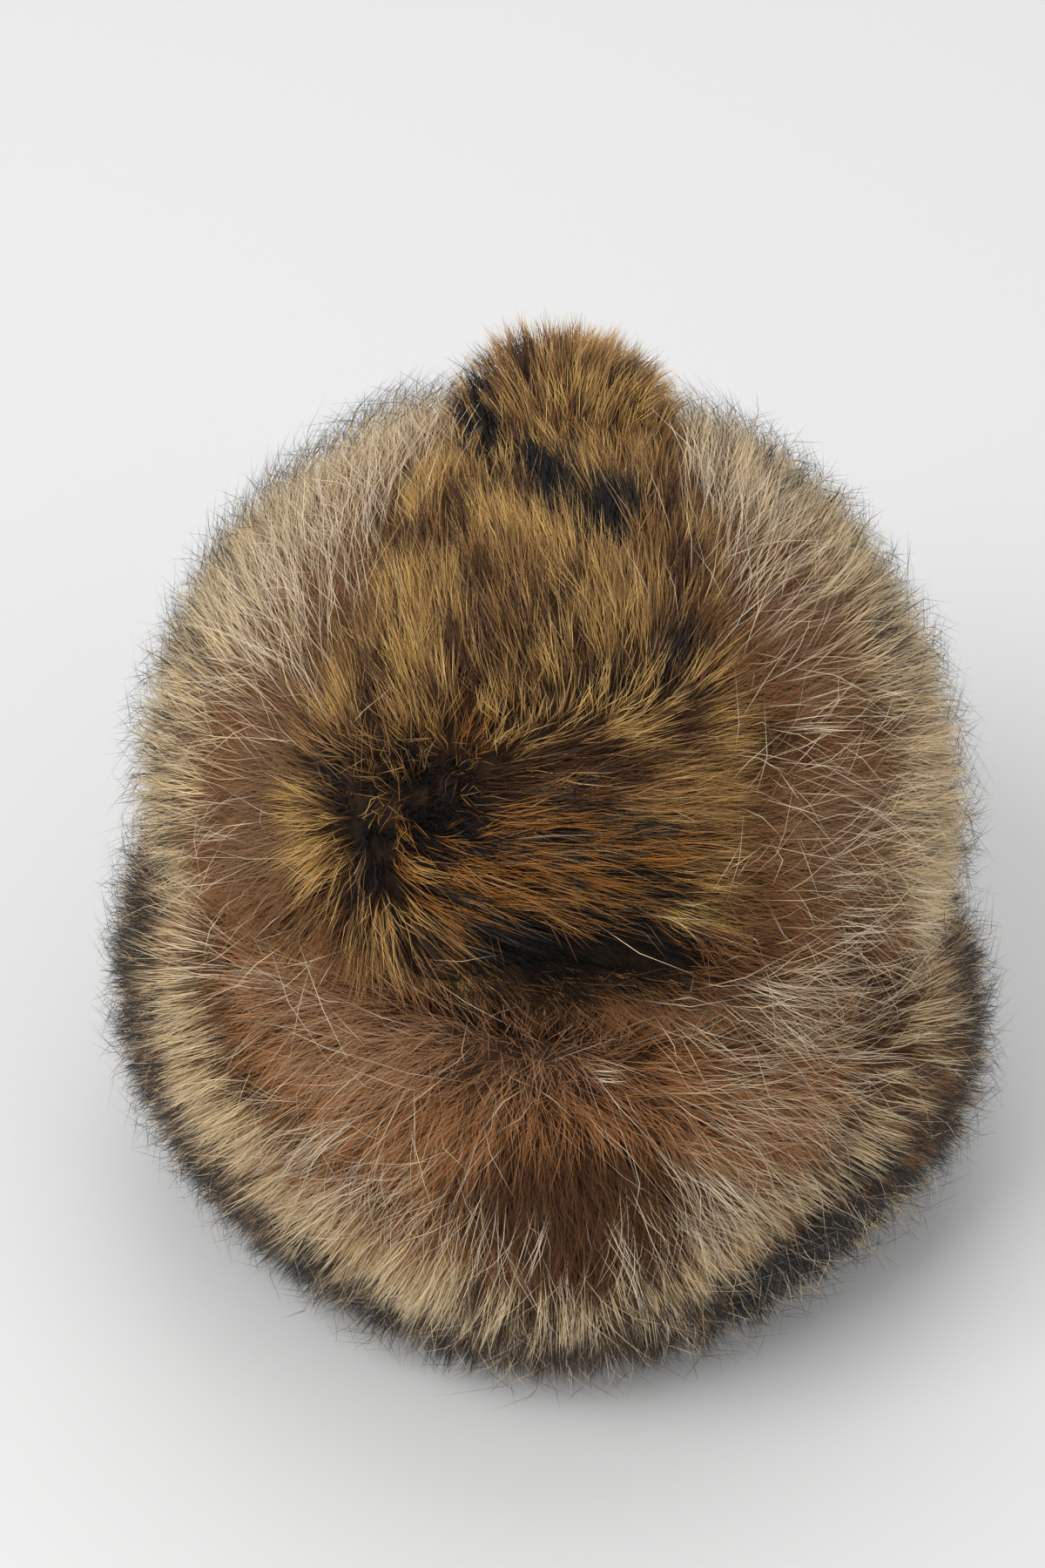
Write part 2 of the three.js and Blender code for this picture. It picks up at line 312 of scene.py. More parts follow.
    def cuff_outward(self, angle: Array, along: Array) -> Array:
        """The outward direction of the cuff's dense fur at the same places as cuff_place.

        Args:
            angle: Angles round the axis.
            along: Places along the cuff's section, from its foot to its top.

        Returns:
            Directions of length one.
        """
        near, step = 0.35, 0.02
        last = len(self.cuff_section) - 1.0
        above = self.cuff_place(angle, np.minimum(along + near, last))
        below = self.cuff_place(angle, np.maximum(along - near, 0.0))
        round_axis = self.cuff_place(angle + step, along) - self.cuff_place(angle - step, along)
        return unit(np.cross(round_axis, above - below))


@dataclass(frozen=True)
class Viewer:
    """The viewer's eye, in the hat's own frame, and where a place shows from there."""

    elevation: float = math.radians(44.0)
    distance: float = 1.6
    aim: tuple[float, float] = (-0.0118, 0.1232)

    @property
    def forward(self) -> Array:
        """The way the viewer looks."""
        return np.array([0.0, math.cos(self.elevation), -math.sin(self.elevation)])

    @property
    def upward(self) -> Array:
        """The way that shows as up."""
        return np.array([0.0, math.sin(self.elevation), math.cos(self.elevation)])

    @property
    def eye(self) -> Array:
        """Where the eye stands."""
        right = np.array([1.0, 0.0, 0.0])
        return right * self.aim[0] + self.upward * self.aim[1] - self.forward * self.distance

    def chart(self, places: Array) -> Array:
        """Where places show, to the right and up of the floor's middle, at that point's own scale.

        Args:
            places: Points, one row each.

        Returns:
            Two numbers for each point.
        """
        seen = places - self.eye
        scale = self.distance / (seen @ self.forward)
        return np.stack([seen[:, 0] * scale + self.aim[0], seen @ self.upward * scale + self.aim[1]], axis=-1)

    def facing(self, places: Array, outward: Array) -> Array:
        """1 where a face turns to the viewer, 0 at the outline that the viewer sees, less behind it."""
        return np.sum(outward * unit(self.eye - places), axis=1)


@dataclass(frozen=True)
class Outline:
    """The hat's outline as the viewer sees it: its middle, and its reach toward each of many turns."""

    viewer: Viewer
    middle: Array
    turns: Array
    reaches: Array

    @staticmethod
    def round(viewer: Viewer, tips: Array, sectors: int = 90) -> "Outline":
        """The outline of many tips together.

        Args:
            viewer: Who sees the tips.
            tips: The places of the tips.
            sectors: How many points the outline has.

        Returns:
            The outline.
        """
        chart = viewer.chart(tips)
        middle = (chart.min(axis=0) + chart.max(axis=0)) / 2
        reach = np.linalg.norm(chart - middle, axis=1)
        turn = np.arctan2(chart[:, 1] - middle[1], chart[:, 0] - middle[0])
        sector = np.floor((turn / (2 * math.pi) + 0.5) * sectors).astype(int) % sectors
        reaches = np.array([np.quantile(reach[sector == index], OUTLINE_SHARE) for index in range(sectors)])
        turns = ((np.arange(sectors) + 0.5) / sectors - 0.5) * 2 * math.pi
        return Outline(viewer, middle, turns, reaches)

    def inside(self, tips: Array) -> Array:
        """How far inside the outline each of many tips shows.

        Args:
            tips: Points, one row each.

        Returns:
            One distance for each tip, negative outside the outline.
        """
        chart = self.viewer.chart(tips) - self.middle
        turn = np.arctan2(chart[:, 1], chart[:, 0])
        return np.interp(turn, self.turns, self.reaches, period=2 * math.pi) - np.linalg.norm(chart, axis=1)


@dataclass(frozen=True)
class Oval:
    """A soft oval spot as the viewer sees it: its centre, half sizes and anticlockwise turn in degrees."""

    centre: tuple[float, float]
    half: tuple[float, float]
    turn: float = 0.0
    share: float = 1.0

    def weight(self, chart: Array) -> Array:
        """How much of the spot's share each charted place takes.

        Args:
            chart: Charted places, one row each.

        Returns:
            One number for each place.
        """
        turn = math.radians(self.turn)
        x, y = (chart - np.array(self.centre)).T
        along = (x * math.cos(turn) + y * math.sin(turn)) / self.half[0]
        across = (y * math.cos(turn) - x * math.sin(turn)) / self.half[1]
        return self.share * (1.0 - smooth_step(np.hypot(along, across), 0.6, 1.25))


class GuardCoat(Enum):
    """Kinds of long guard hair."""

    PALE = 0
    CREAM = 1
    BANDED = 2
    GRIZZLED = 3
    DARK = 4
    EDGE = 5


class StripCoat(Enum):
    """Kinds of short hair on the strip."""

    OCHRE = 0
    TAN = 1
    ORANGE = 2
    DARK = 3
    BLACK = 4


class WoolCoat(Enum):
    """Kinds of fine woolly hair under the guard hair."""

    PINKISH = 0
    REDDISH = 1
    DARK = 2
    # Near-black wool: painted shade where the slit under the lip shows, and black wool near the lower right
    # of the outline.
    BLACK = 3


@dataclass(frozen=True)
class Mark:
    """A spot where the hair has another coat."""

    coat: Enum
    oval: Oval


def add_node(made: bpy.types.Material, kind: str, settings: dict[str, float] | None = None) -> bpy.types.Node:
    """Adds a node to a material and sets its sockets.

    Args:
        made: The material.
        kind: Blender's name for the kind of node.
        settings: A number for each socket that is set.

    Returns:
        The node.
    """
    node = made.node_tree.nodes.new(kind)
    for socket, value in (settings or {}).items():
        node.inputs[socket].default_value = value
    return node


@dataclass(frozen=True)
class HairFinish:
    """Colours of one piece's hair: a column of the map for each coat, read from root to tip."""

    name: str
    columns: tuple[tuple[tuple[float, Colour], ...], ...]
    roughness: float = 0.45
    light_spread: tuple[float, float] = (0.72, 1.25)
    specular: float = 0.35
    tone_scale: float = 60.0
    root_dullness: float = 0.15

    def material(self) -> bpy.types.Material:
        """The shader, with each coat's colours along the hair and a lighter or darker tone by strand.

        Returns:
            The material.
        """
        made = bpy.data.materials.new(self.name)
        made.use_nodes = True
        links = made.node_tree.links
        shader = made.node_tree.nodes["Principled BSDF"]
        shader.inputs["Specular IOR Level"].default_value = self.specular
        uv = add_node(made, "ShaderNodeUVMap")
        uv.uv_map = HAIR_MAP
        split = add_node(made, "ShaderNodeSeparateXYZ")
        links.new(uv.outputs["UV"], split.inputs["Vector"])
        colour = None
        for index, stops in enumerate(self.columns):
            ramp = add_node(made, "ShaderNodeValToRGB")
            while len(ramp.color_ramp.elements) < len(stops):
                ramp.color_ramp.elements.new(0.5)
            for element, (along, shade) in zip(ramp.color_ramp.elements, stops):
                element.position = along
                element.color = (*shade, 1.0)
            links.new(split.outputs["Y"], ramp.inputs["Fac"])
            if colour is None:
                colour = ramp.outputs["Color"]
                continue
            beyond = add_node(made, "ShaderNodeMath")
            beyond.operation = "GREATER_THAN"
            beyond.inputs[1].default_value = index / len(self.columns)
            links.new(split.outputs["X"], beyond.inputs[0])
            mixed = add_node(made, "ShaderNodeMix")
            mixed.data_type = "RGBA"
            links.new(beyond.outputs["Value"], mixed.inputs["Factor"])
            links.new(colour, mixed.inputs["A"])
            links.new(ramp.outputs["Color"], mixed.inputs["B"])
            colour = mixed.outputs["Result"]
        noise = add_node(made, "ShaderNodeTexNoise", {"Scale": self.tone_scale, "Detail": 3.0})
        noise.noise_dimensions = "1D"
        links.new(split.outputs["X"], noise.inputs["W"])
        darkest, lightest = self.light_spread
        spread = {"From Min": 0.3, "From Max": 0.7, "To Min": darkest, "To Max": lightest}
        tone = add_node(made, "ShaderNodeMapRange", spread)
        links.new(noise.outputs["Fac"], tone.inputs["Value"])
        toned = add_node(made, "ShaderNodeMix")
        toned.data_type = "RGBA"
        toned.blend_type = "MULTIPLY"
        toned.inputs["Factor"].default_value = 1.0
        links.new(colour, toned.inputs["A"])
        links.new(tone.outputs["Result"], toned.inputs["B"])
        links.new(toned.outputs["Result"], shader.inputs["Base Color"])
        ends = {"To Min": self.roughness + self.root_dullness, "To Max": self.roughness}
        gloss = add_node(made, "ShaderNodeMapRange", ends)
        links.new(split.outputs["Y"], gloss.inputs["Value"])
        links.new(gloss.outputs["Result"], shader.inputs["Roughness"])
        return made


@dataclass(frozen=True)
class HideFinish:
    """A matt skin or wool surface with mottled colour and a fine raised grain."""

    name: str
    dark: Colour
    light: Colour
    mottle_scale: float
    grain_scale: float
    grain_depth: float
    roughness: float = 0.85
    specular: float = 0.2
    mottle_stops: tuple[float, float] = (0.35, 0.68)
    grain_strength: float = 0.6
    gloss_spread: tuple[float, float] = (-0.12, 0.08)

    def material(self) -> bpy.types.Material:
        """The shader, with its mottling and grain worked out from object coordinates.

        Returns:
            The material.
        """
        made = bpy.data.materials.new(self.name)
        made.use_nodes = True
        links = made.node_tree.links
        shader = made.node_tree.nodes["Principled BSDF"]
        shader.inputs["Specular IOR Level"].default_value = self.specular
        place = add_node(made, "ShaderNodeTexCoord").outputs["Object"]
        mottle = add_node(made, "ShaderNodeTexNoise", {"Scale": self.mottle_scale, "Detail": 6.0})
        links.new(place, mottle.inputs["Vector"])
        ramp = add_node(made, "ShaderNodeValToRGB")
        shades = (self.dark, self.light)
        for element, along, shade in zip(ramp.color_ramp.elements, self.mottle_stops, shades):
            element.position = along
            element.color = (*shade, 1.0)
        links.new(mottle.outputs["Fac"], ramp.inputs["Fac"])
        links.new(ramp.outputs["Color"], shader.inputs["Base Color"])
        grain = add_node(made, "ShaderNodeTexNoise", {"Scale": self.grain_scale, "Detail": 4.0})
        links.new(place, grain.inputs["Vector"])
        relief = {"Strength": self.grain_strength, "Distance": self.grain_depth}
        bump = add_node(made, "ShaderNodeBump", relief)
        links.new(grain.outputs["Fac"], bump.inputs["Height"])
        links.new(bump.outputs["Normal"], shader.inputs["Normal"])
        glossier, duller = self.gloss_spread
        ends = {"To Min": self.roughness + glossier, "To Max": self.roughness + duller}
        rough = add_node(made, "ShaderNodeMapRange", ends)
        links.new(grain.outputs["Fac"], rough.inputs["Value"])
        links.new(rough.outputs["Result"], shader.inputs["Roughness"])
        return made


def link_mesh(name: str, vertices: Array, faces: list[Array], form: HatForm) -> bpy.types.Object:
    """Makes a smooth mesh object from arrays and moves it onto the hat's axis.

    Args:
        name: The piece's name.
        vertices: Points in the hat's own frame.
        faces: Arrays of faces, each with one row of vertex numbers a face.
        form: The hat's form, which holds the axis.

    Returns:
        The new object.
    """
    mesh = bpy.data.meshes.new(name)
    corners = np.concatenate([part.ravel() for part in faces]).astype(np.int32)
    counts = np.concatenate([np.full(len(part), part.shape[1]) for part in faces])
    starts = np.concatenate([[0], np.cumsum(counts)[:-1]]).astype(np.int32)
    shift = np.array([form.axis[0], form.axis[1], 0.0])
    mesh.vertices.add(len(vertices))
    mesh.vertices.foreach_set("co", (vertices + shift).astype(np.float32).ravel())
    mesh.loops.add(len(corners))
    mesh.loops.foreach_set("vertex_index", corners)
    mesh.polygons.add(len(starts))
    mesh.polygons.foreach_set("loop_start", starts)
    mesh.polygons.foreach_set("use_smooth", np.ones(len(starts), dtype=bool))
    mesh.update(calc_edges=True)
    made = bpy.data.objects.new(name, mesh)
    bpy.context.scene.collection.objects.link(made)
    return made


def grid_faces(rows: int, columns: int, start: int = 0, flip: bool = False) -> Array:
    """Quads of a grid whose rows close on themselves.

    Args:
        rows: Number of rows of points.
        columns: Points in each row.
        start: Number of the grid's first point.
        flip: Turns the faces over.

    Returns:
        One row of four vertex numbers for each quad.
    """
    row, column = np.meshgrid(np.arange(rows - 1), np.arange(columns), indexing="ij")
    after = (column + 1) % columns
    low, high = start + row * columns, start + (row + 1) * columns
    quads = np.stack([low + column, low + after, high + after, high + column], axis=-1).reshape(-1, 4)
    return quads[:, ::-1] if flip else quads


def closed_dome(name: str, outer: Array, inner: Array, poles: Array, form: HatForm) -> bpy.types.Object:
    """Makes a closed shell from an outer and an inner dome, joined at their feet.

    Args:
        name: The piece's name.
        outer: Rows of points up the outer face.
        inner: As many rows of points up the inner face.
        poles: The top point of the outer face, then that of the inner face.
        form: The hat's form, which holds the axis.

    Returns:
        The new object.
    """
    rows, columns = outer.shape[:2]
    start = rows * columns
    last = start - columns
    column = np.arange(columns)
    after = (column + 1) % columns
    outer_top, inner_top = np.full(columns, 2 * start), np.full(columns, 2 * start + 1)
    outer_cap = np.stack([last + column, last + after, outer_top], axis=-1)
    inner_cap = np.stack([last + start + after, last + start + column, inner_top], axis=-1)
    foot = np.stack([start + column, start + after, after, column], axis=-1)
    quads = [grid_faces(rows, columns), grid_faces(rows, columns, start, flip=True), foot]
    vertices = np.concatenate([outer.reshape(-1, 3), inner.reshape(-1, 3), poles])
    return link_mesh(name, vertices, [np.concatenate(quads), outer_cap, inner_cap], form)


@dataclass
class Strands:
    """A head of hair: each strand's points from root to tip, its width, its place on the map and its roll."""

    points: Array
    along: Array
    outward: Array
    width: Array
    column: Array
    roll: Array
    tip_width: float = 0.35
    map_width: float = 0.003

    def build(self, name: str, form: HatForm) -> bpy.types.Object:
        """Makes the strands as one mesh of flat ribbons, pointed at both ends.

        Args:
            name: The piece's name.
            form: The hat's form, which holds the axis.

        Returns:
            The piece, with its hair map.
        """
        points = form.limited(self.points)
        points[..., 2] = np.maximum(points[..., 2], FLOOR_GAP)
        count, rings = points.shape[:2]
        tangent = unit(np.gradient(points, axis=1))[:, 1:-1]
        outward = np.repeat(self.outward[:, None, :], rings - 2, axis=1)
        across = unit(np.cross(tangent, outward))
        lift = np.cross(across, tangent)
        roll = self.roll[:, None, None]
        side = across * np.cos(roll) + lift * np.sin(roll)
        taper = np.interp(self.along[1:-1], [0.0, 0.35, 1.0], [0.7, 1.0, self.tip_width])
        half = self.width[:, None, None] * taper[None, :, None] / 2
        body = points[:, 1:-1]
        ribbon = np.stack([body - side * half, body + side * half], axis=2).reshape(count, -1, 3)
        vertices = np.concatenate([points[:, :1], ribbon, points[:, -1:]], axis=1)
        stride = vertices.shape[1]
        first = np.arange(count)[:, None] * stride
        roots = first + np.array([0, 2, 1])
        tips = first + np.array([stride - 3, stride - 2, stride - 1])
        faces = [np.concatenate([roots, tips])]
        if rings > 3:
            corner = first + 1 + np.array([0, 1, 3, 2])
            faces.append(np.concatenate([corner + 2 * ring for ring in range(rings - 3)]))
        made = link_mesh(name, vertices.reshape(-1, 3), faces, form)
        along = np.concatenate([[0.0], np.repeat(self.along[1:-1], 2), [1.0]])
        sideways = np.concatenate([[0.0], np.tile([-self.map_width, self.map_width], rings - 2), [0.0]])
        chart = np.stack([self.column[:, None] + sideways, np.broadcast_to(along, (count, stride))], axis=-1)
        chart = np.clip(chart.reshape(-1, 2), 0.002, 0.998)
        corners = np.zeros(len(made.data.loops), dtype=np.int32)
        made.data.loops.foreach_get("vertex_index", corners)
        layer = made.data.uv_layers.new(name=HAIR_MAP)
        layer.uv.foreach_set("vector", chart[corners].astype(np.float32).ravel())
        return made


@dataclass
class Ground:
    """Where hair is rooted: places on a pelt, the way out of it and the way that the hair lies."""

    place: Array
    outward: Array
    lie: Array
    bend_radius: float = 0.15

    def chosen(self, which: Array) -> "Ground":
        """The part of the ground that a mask or a list of numbers picks."""
        return Ground(self.place[which], self.outward[which], self.lie[which], self.bend_radius)

    def tips(self, length: float, rise: float) -> Array:
        """Where hair of a length and rise that is rooted here ends."""
        sink = length**2 * np.sum(self.lie**2, axis=1) / (2 * self.bend_radius)
        return self.place + self.lie * length + self.outward * (rise - sink)[:, None]

    def shown_at(self, length: float, rise: float) -> Array:
        """Where the outer half of the hair that is rooted here shows."""
        return self.place + self.lie * length * 0.6 + self.outward * rise * 0.7


@dataclass(frozen=True)
class HairStyle:
    """How one kind of hair grows: lengths in metres, spreads as shares or in metres."""

    length: float
    rise: float
    width: float
    per_clump: int
    clump_spread: float
    gather: float
    rings: int = 4
    stray: float = 0.15
    frizz: float = 0.0004
    rise_spread: float = 0.15
    roll_spread: float = 0.9
    early_rise: float = 0.62
    uneven: float = 0.14
    tip_width: float = 0.35

    def grow(self, ground: Ground, rng: np.random.Generator, **by_clump: Array) -> Strands:
        """Grows a clump of strands from each place of the ground.

        Args:
            ground: A place for each clump.
            rng: Source of the random differences between strands.
            **by_clump: "column" gives each clump's place on the hair map and "jitter" the most that a
                strand leaves it; "long", "tall", "frizzy" and "wild" scale its length, rise, frizz and stray.

        Returns:
            The strands.
        """
        clumps = len(ground.place)
        ones = np.ones(clumps)
        count = clumps * self.per_clump
        clump = np.repeat(np.arange(clumps), self.per_clump)
        outward = ground.outward[clump]
        first_way, second_way = ways_along(outward)

        def flat(spread: float | Array, rows: int = count) -> Array:
            """Random offsets along the pelt."""
            draw = rng.normal(size=(rows, 2)) * spread
            return draw[:, :1] * first_way[:rows] + draw[:, 1:] * second_way[:rows]

        own_way, other_way = ways_along(ground.outward)
        sway = rng.normal(size=(clumps, 2)) * self.stray * by_clump.get("wild", ones)[:, None]
        clump_lie = ground.lie + sway[:, :1] * own_way + sway[:, 1:] * other_way
        clump_lie = clump_lie / np.maximum(np.linalg.norm(clump_lie, axis=1, keepdims=True), 1.0)
        length = self.length * by_clump.get("long", ones) * rng.uniform(0.8, 1.15, clumps)
        rise = self.rise * by_clump.get("tall", ones) * (1.0 - self.rise_spread * rng.random(clumps))
        strand_length = length[clump] * rng.uniform(1.0 - self.uneven, 1.0 + self.uneven * 0.6, count)
        strand_rise = rise[clump] * rng.uniform(1.0 - self.uneven, 1.0 + self.uneven * 0.4, count)
        strand_lie = clump_lie[clump] + flat(self.stray * 0.5)
        offset = flat(self.clump_spread)
        root = ground.place[clump] + offset
        sink = strand_length**2 * np.sum(strand_lie**2, axis=1) / (2 * ground.bend_radius)
        tip = (
            root
            - offset * self.gather
            + strand_lie * strand_length[:, None]
            + outward * (strand_rise - sink)[:, None]
        )
        bend = (
            root
            - offset * self.gather * 0.4
            + strand_lie * strand_length[:, None] * 0.3
            + outward * (strand_rise * self.early_rise)[:, None]
        )
        along = np.linspace(0.0, 1.0, self.rings)
        share = along[None, :, None]
        points = root[:, None] * (1 - share) ** 2 + 2 * bend[:, None] * share * (1 - share)
        points = points + tip[:, None] * share**2
        frizz = self.frizz * by_clump.get("frizzy", ones)[clump]
        for ring in range(1, self.rings):
            points[:, ring] += flat(frizz[:, None] * (0.4 + 0.6 * along[ring]))
        column = by_clump["column"][clump] + by_clump["jitter"] * rng.uniform(-1.0, 1.0, count)
        width = self.width * rng.uniform(0.7, 1.2, count)
        roll = rng.normal(size=count) * self.roll_spread
        return Strands(points, along, outward, width, column, roll, self.tip_width)


def map_columns(coats: Array, kinds: int, rng: np.random.Generator) -> tuple[Array, float]:
    """Places on the hair map for clumps of given coats.

    Args:
        coats: The number of each clump's coat.
        kinds: How many coats the map holds.
        rng: Source of the differences in tone.

    Returns:
        The column of each clump, and how far a strand may leave it.
    """
    tone = rng.uniform(-0.34, 0.34, len(coats))
    return (coats + 0.5 + tone) / kinds, 0.12 / kinds


def paint(
    coats: Array, marks: tuple[Mark, ...], chart: Array, facing: Array, rng: np.random.Generator
) -> Array:
    """Gives clumps inside marks the marks' coats, the later marks over the earlier ones.

    Args:
        coats: The number of each clump's coat.
        marks: The marks, in order.
        chart: Where each clump shows.
        facing: The viewer's cosine at each clump.
        rng: Source of the unevenness of the marks' edges.

    Returns:
        The numbers of the clumps' coats.
    """
    painted = coats.copy()
    for mark in marks:
        taken = rng.random(len(coats)) < mark.oval.weight(chart) * (facing > 0.0)
        painted[taken] = mark.coat.value
    return painted


def most_of(ovals: tuple[Oval, ...], chart: Array, facing: Array) -> Array:
    """The strongest of several ovals' weights at each charted place, on the side that faces the viewer."""
    return np.max([oval.weight(chart) for oval in ovals], axis=0) * (facing > 0.0)


def crossing(oval: Oval, ground: Ground, length: float, rise: float, viewer: Viewer) -> Array:
    """How much the hair that is rooted at each place shows inside a spot, anywhere along it.

    Args:
        oval: The spot.
        ground: Where the hair is rooted.
        length: The hair's length along the pelt.
        rise: How high it stands.
        viewer: Who sees it.

    Returns:
        A share from 0 to 1 for each place.
    """
    shown = [ground.shown_at(length * part, rise * part) for part in (0.0, 0.35, 0.7)]
    return np.max([oval.weight(viewer.chart(places)) for places in shown], axis=0)


def outline_band(inside: Array, facing: Array, width: float, rng: np.random.Generator) -> Array:
    """How much each place belongs to the band of guard hair along the outline, or to the side behind it.

    Args:
        inside: How far inside the outline the hair rooted at each place ends.
        facing: The viewer's cosine at each place.
        width: How far inside the outline the band reaches.
        rng: Source of the unevenness of the band's edge.

    Returns:
        A share from 0 to 1 for each place.
    """
    uneven = inside + rng.normal(size=len(inside)) * width * 0.08
    band = (1.0 - smooth_step(uneven, width * 0.85, width * 1.15)) * (1.0 - smooth_step(facing, 0.6, 0.72))
    return np.maximum(band, 1.0 - smooth_step(facing, 0.02, 0.15))


def dress(piece: bpy.types.Object, slot: str, *materials: bpy.types.Material) -> None:
    """Gives a piece its materials and its body.

    Args:
        piece: The piece.
        slot: Not used.
        *materials: Its materials, in the order of its faces' numbers.
    """
    for material in materials:
        piece.data.materials.append(material)
    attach(piece, BODY)


def report(piece: bpy.types.Object) -> None:
    """Logs a piece's name and number of triangles.

    Args:
        piece: The piece.
    """
    counts = np.zeros(len(piece.data.polygons), dtype=np.int32)
    piece.data.polygons.foreach_get("loop_total", counts)
    log.info("%s: %d triangles", piece.name, int((counts - 2).sum()))


@dataclass
class CrownLeather:
    """The tanned leather of the crown, a hollow dome with soft dents on its inner face."""

    form: HatForm
    columns: int = 96
    wall_rows: int = 12
    dome_rows: int = 24
    dent: float = 0.0007
    finish: HideFinish = HideFinish(
        "tanned_leather", linear(150, 116, 84), linear(196, 166, 130), 22, 900, 0.0004
    )

    def face(self, grow: float) -> Array:
        """Rows of points up one face of the leather, grown outwards from the head hollow.

        Args:
            grow: How far the face lies outside the head hollow.

        Returns:
            The points by row and column.
        """
        form = self.form
        angle = np.linspace(0, 2 * math.pi, self.columns, endpoint=False)
        half_x, half_y = (half + grow for half in form.head_half)
        wall = 1.0 / np.hypot(np.cos(angle) / half_x, np.sin(angle) / half_y)
        heights = np.linspace(0, form.wall_top, self.wall_rows, endpoint=False)
        turns = np.linspace(0, math.pi / 2, self.dome_rows, endpoint=False)
        radii = np.concatenate([np.ones(self.wall_rows), np.cos(turns)])
        levels = np.concatenate([heights, form.wall_top + (form.dome_rise + grow) * np.sin(turns)])
        ring = np.stack([wall * np.cos(angle), wall * np.sin(angle)], axis=-1)
        flat = radii[:, None, None] * ring[None]
        return np.concatenate([flat, np.broadcast_to(levels[:, None, None], (*flat.shape[:2], 1))], axis=-1)

    def build(self) -> bpy.types.Object:
        """Makes the closed leather shell and dresses it.

        Returns:
            The piece.
        """
        form = self.form
        outer, inner = self.face(form.leather), self.face(0.0)
        inward = unit(inner * np.array([1.0, 1.0, 0.0]))
        dents = ripple(inner.reshape(-1, 3), 0.045, 3).reshape(inner.shape[:2])[..., None]
        inner = inner - inward * self.dent * (1 + dents) * smooth_step(inner[..., 2:], 0.004, 0.02)
        top = form.wall_top + form.dome_rise
        poles = np.array([[0, 0, top + form.leather], [0, 0, top]])
        made = closed_dome("crown_leather", outer, inner, poles, form)
        dress(made, "leather", self.finish.material())
        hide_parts("crown")
        return made


@dataclass
class CrownPelt:
    """The dense hide and wool of the crown, from the leather out to where the loose hair starts."""

    form: HatForm
    depth: float = 0.024
    columns: int = 96
    rows: int = 26
    quarter_turn: float = 1.5708
    tilt_range: tuple[float, float] = (0.3, 2.6)
    finish: HideFinish = HideFinish(
        "crown_wool", linear(46, 30, 22), linear(78, 54, 40), 60, 700, 0.0015, 0.95
    )

    def lowest_tilt(self, angle: Array) -> Array:
        """The tilt from straight up at which the pelt's face meets the parting, for each angle.

        Args:
            angle: Angles round the axis.

        Returns:
            One angle for each.
        """
        least, most = self.tilt_range

        def over(tilt: Array) -> Array:
            """Whether the face is over the parting at a tilt."""
            place = self.outer_at(angle, tilt)
            return place[..., 2] > self.form.parting_height(place)

        return halve(np.full_like(angle, least), np.full_like(angle, most), over)[0]

    def outer_at(self, angle: Array, tilt: Array) -> Array:
        """Points on the pelt's outer face.

        Args:
            angle: Angles round the axis.
            tilt: Angles from straight up.

        Returns:
            The points.
        """
        flat = np.sin(tilt)
        toward = np.stack([flat * np.cos(angle), flat * np.sin(angle), np.cos(tilt)], axis=-1)
        return self.form.centre + toward * (self.form.crown_reach(toward) - self.depth)

    def inner_at(self, angle: Array, rise: Array) -> Array:
        """Points on the leather dome's outer face, with a small gap.

        Args:
            angle: Angles round the axis.
            rise: Angles up the dome from its foot.

        Returns:
            The points.
        """
        form = self.form
        radius = form.leather_radius(angle, np.zeros_like(angle)) + form.gap
        top = form.dome_rise + form.leather + form.gap
        flat = radius * np.cos(rise)
        level = form.wall_top + top * np.sin(rise)
        return np.stack([flat * np.cos(angle), flat * np.sin(angle), level], axis=-1)

    def lowest_rise(self, angle: Array) -> Array:
        """The rise on the dome at which the pelt's inner face meets the parting, for each angle.

        Args:
            angle: Angles round the axis.

        Returns:
            One angle for each.
        """

        def under(rise: Array) -> Array:
            """Whether the face is under the parting at a rise."""
            place = self.inner_at(angle, rise)
            return place[..., 2] < self.form.parting_height(place)

        return halve(np.zeros_like(angle), np.full_like(angle, math.pi / 2), under)[1]

    def build(self) -> bpy.types.Object:
        """Makes the closed pelt and dresses it.

        Returns:
            The piece.
        """
        angle = np.linspace(0, 2 * math.pi, self.columns, endpoint=False)
        share = np.linspace(1, 0, self.rows, endpoint=False)[:, None]
        angles = np.broadcast_to(angle, (self.rows, self.columns))
        outer = self.outer_at(angles, share * self.lowest_tilt(angle))
        base = self.lowest_rise(angle)
        inner = self.inner_at(angles, math.pi / 2 - share * (math.pi / 2 - base))
        straight = np.zeros(1)
        outer_pole = self.outer_at(straight, straight)[0]
        inner_pole = self.inner_at(straight, np.full(1, self.quarter_turn))[0]
        made = closed_dome("crown_pelt", outer, inner, np.stack([outer_pole, inner_pole]), self.form)
        dress(made, "long_fur", self.finish.material())
        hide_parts("crown_fur")
        return made


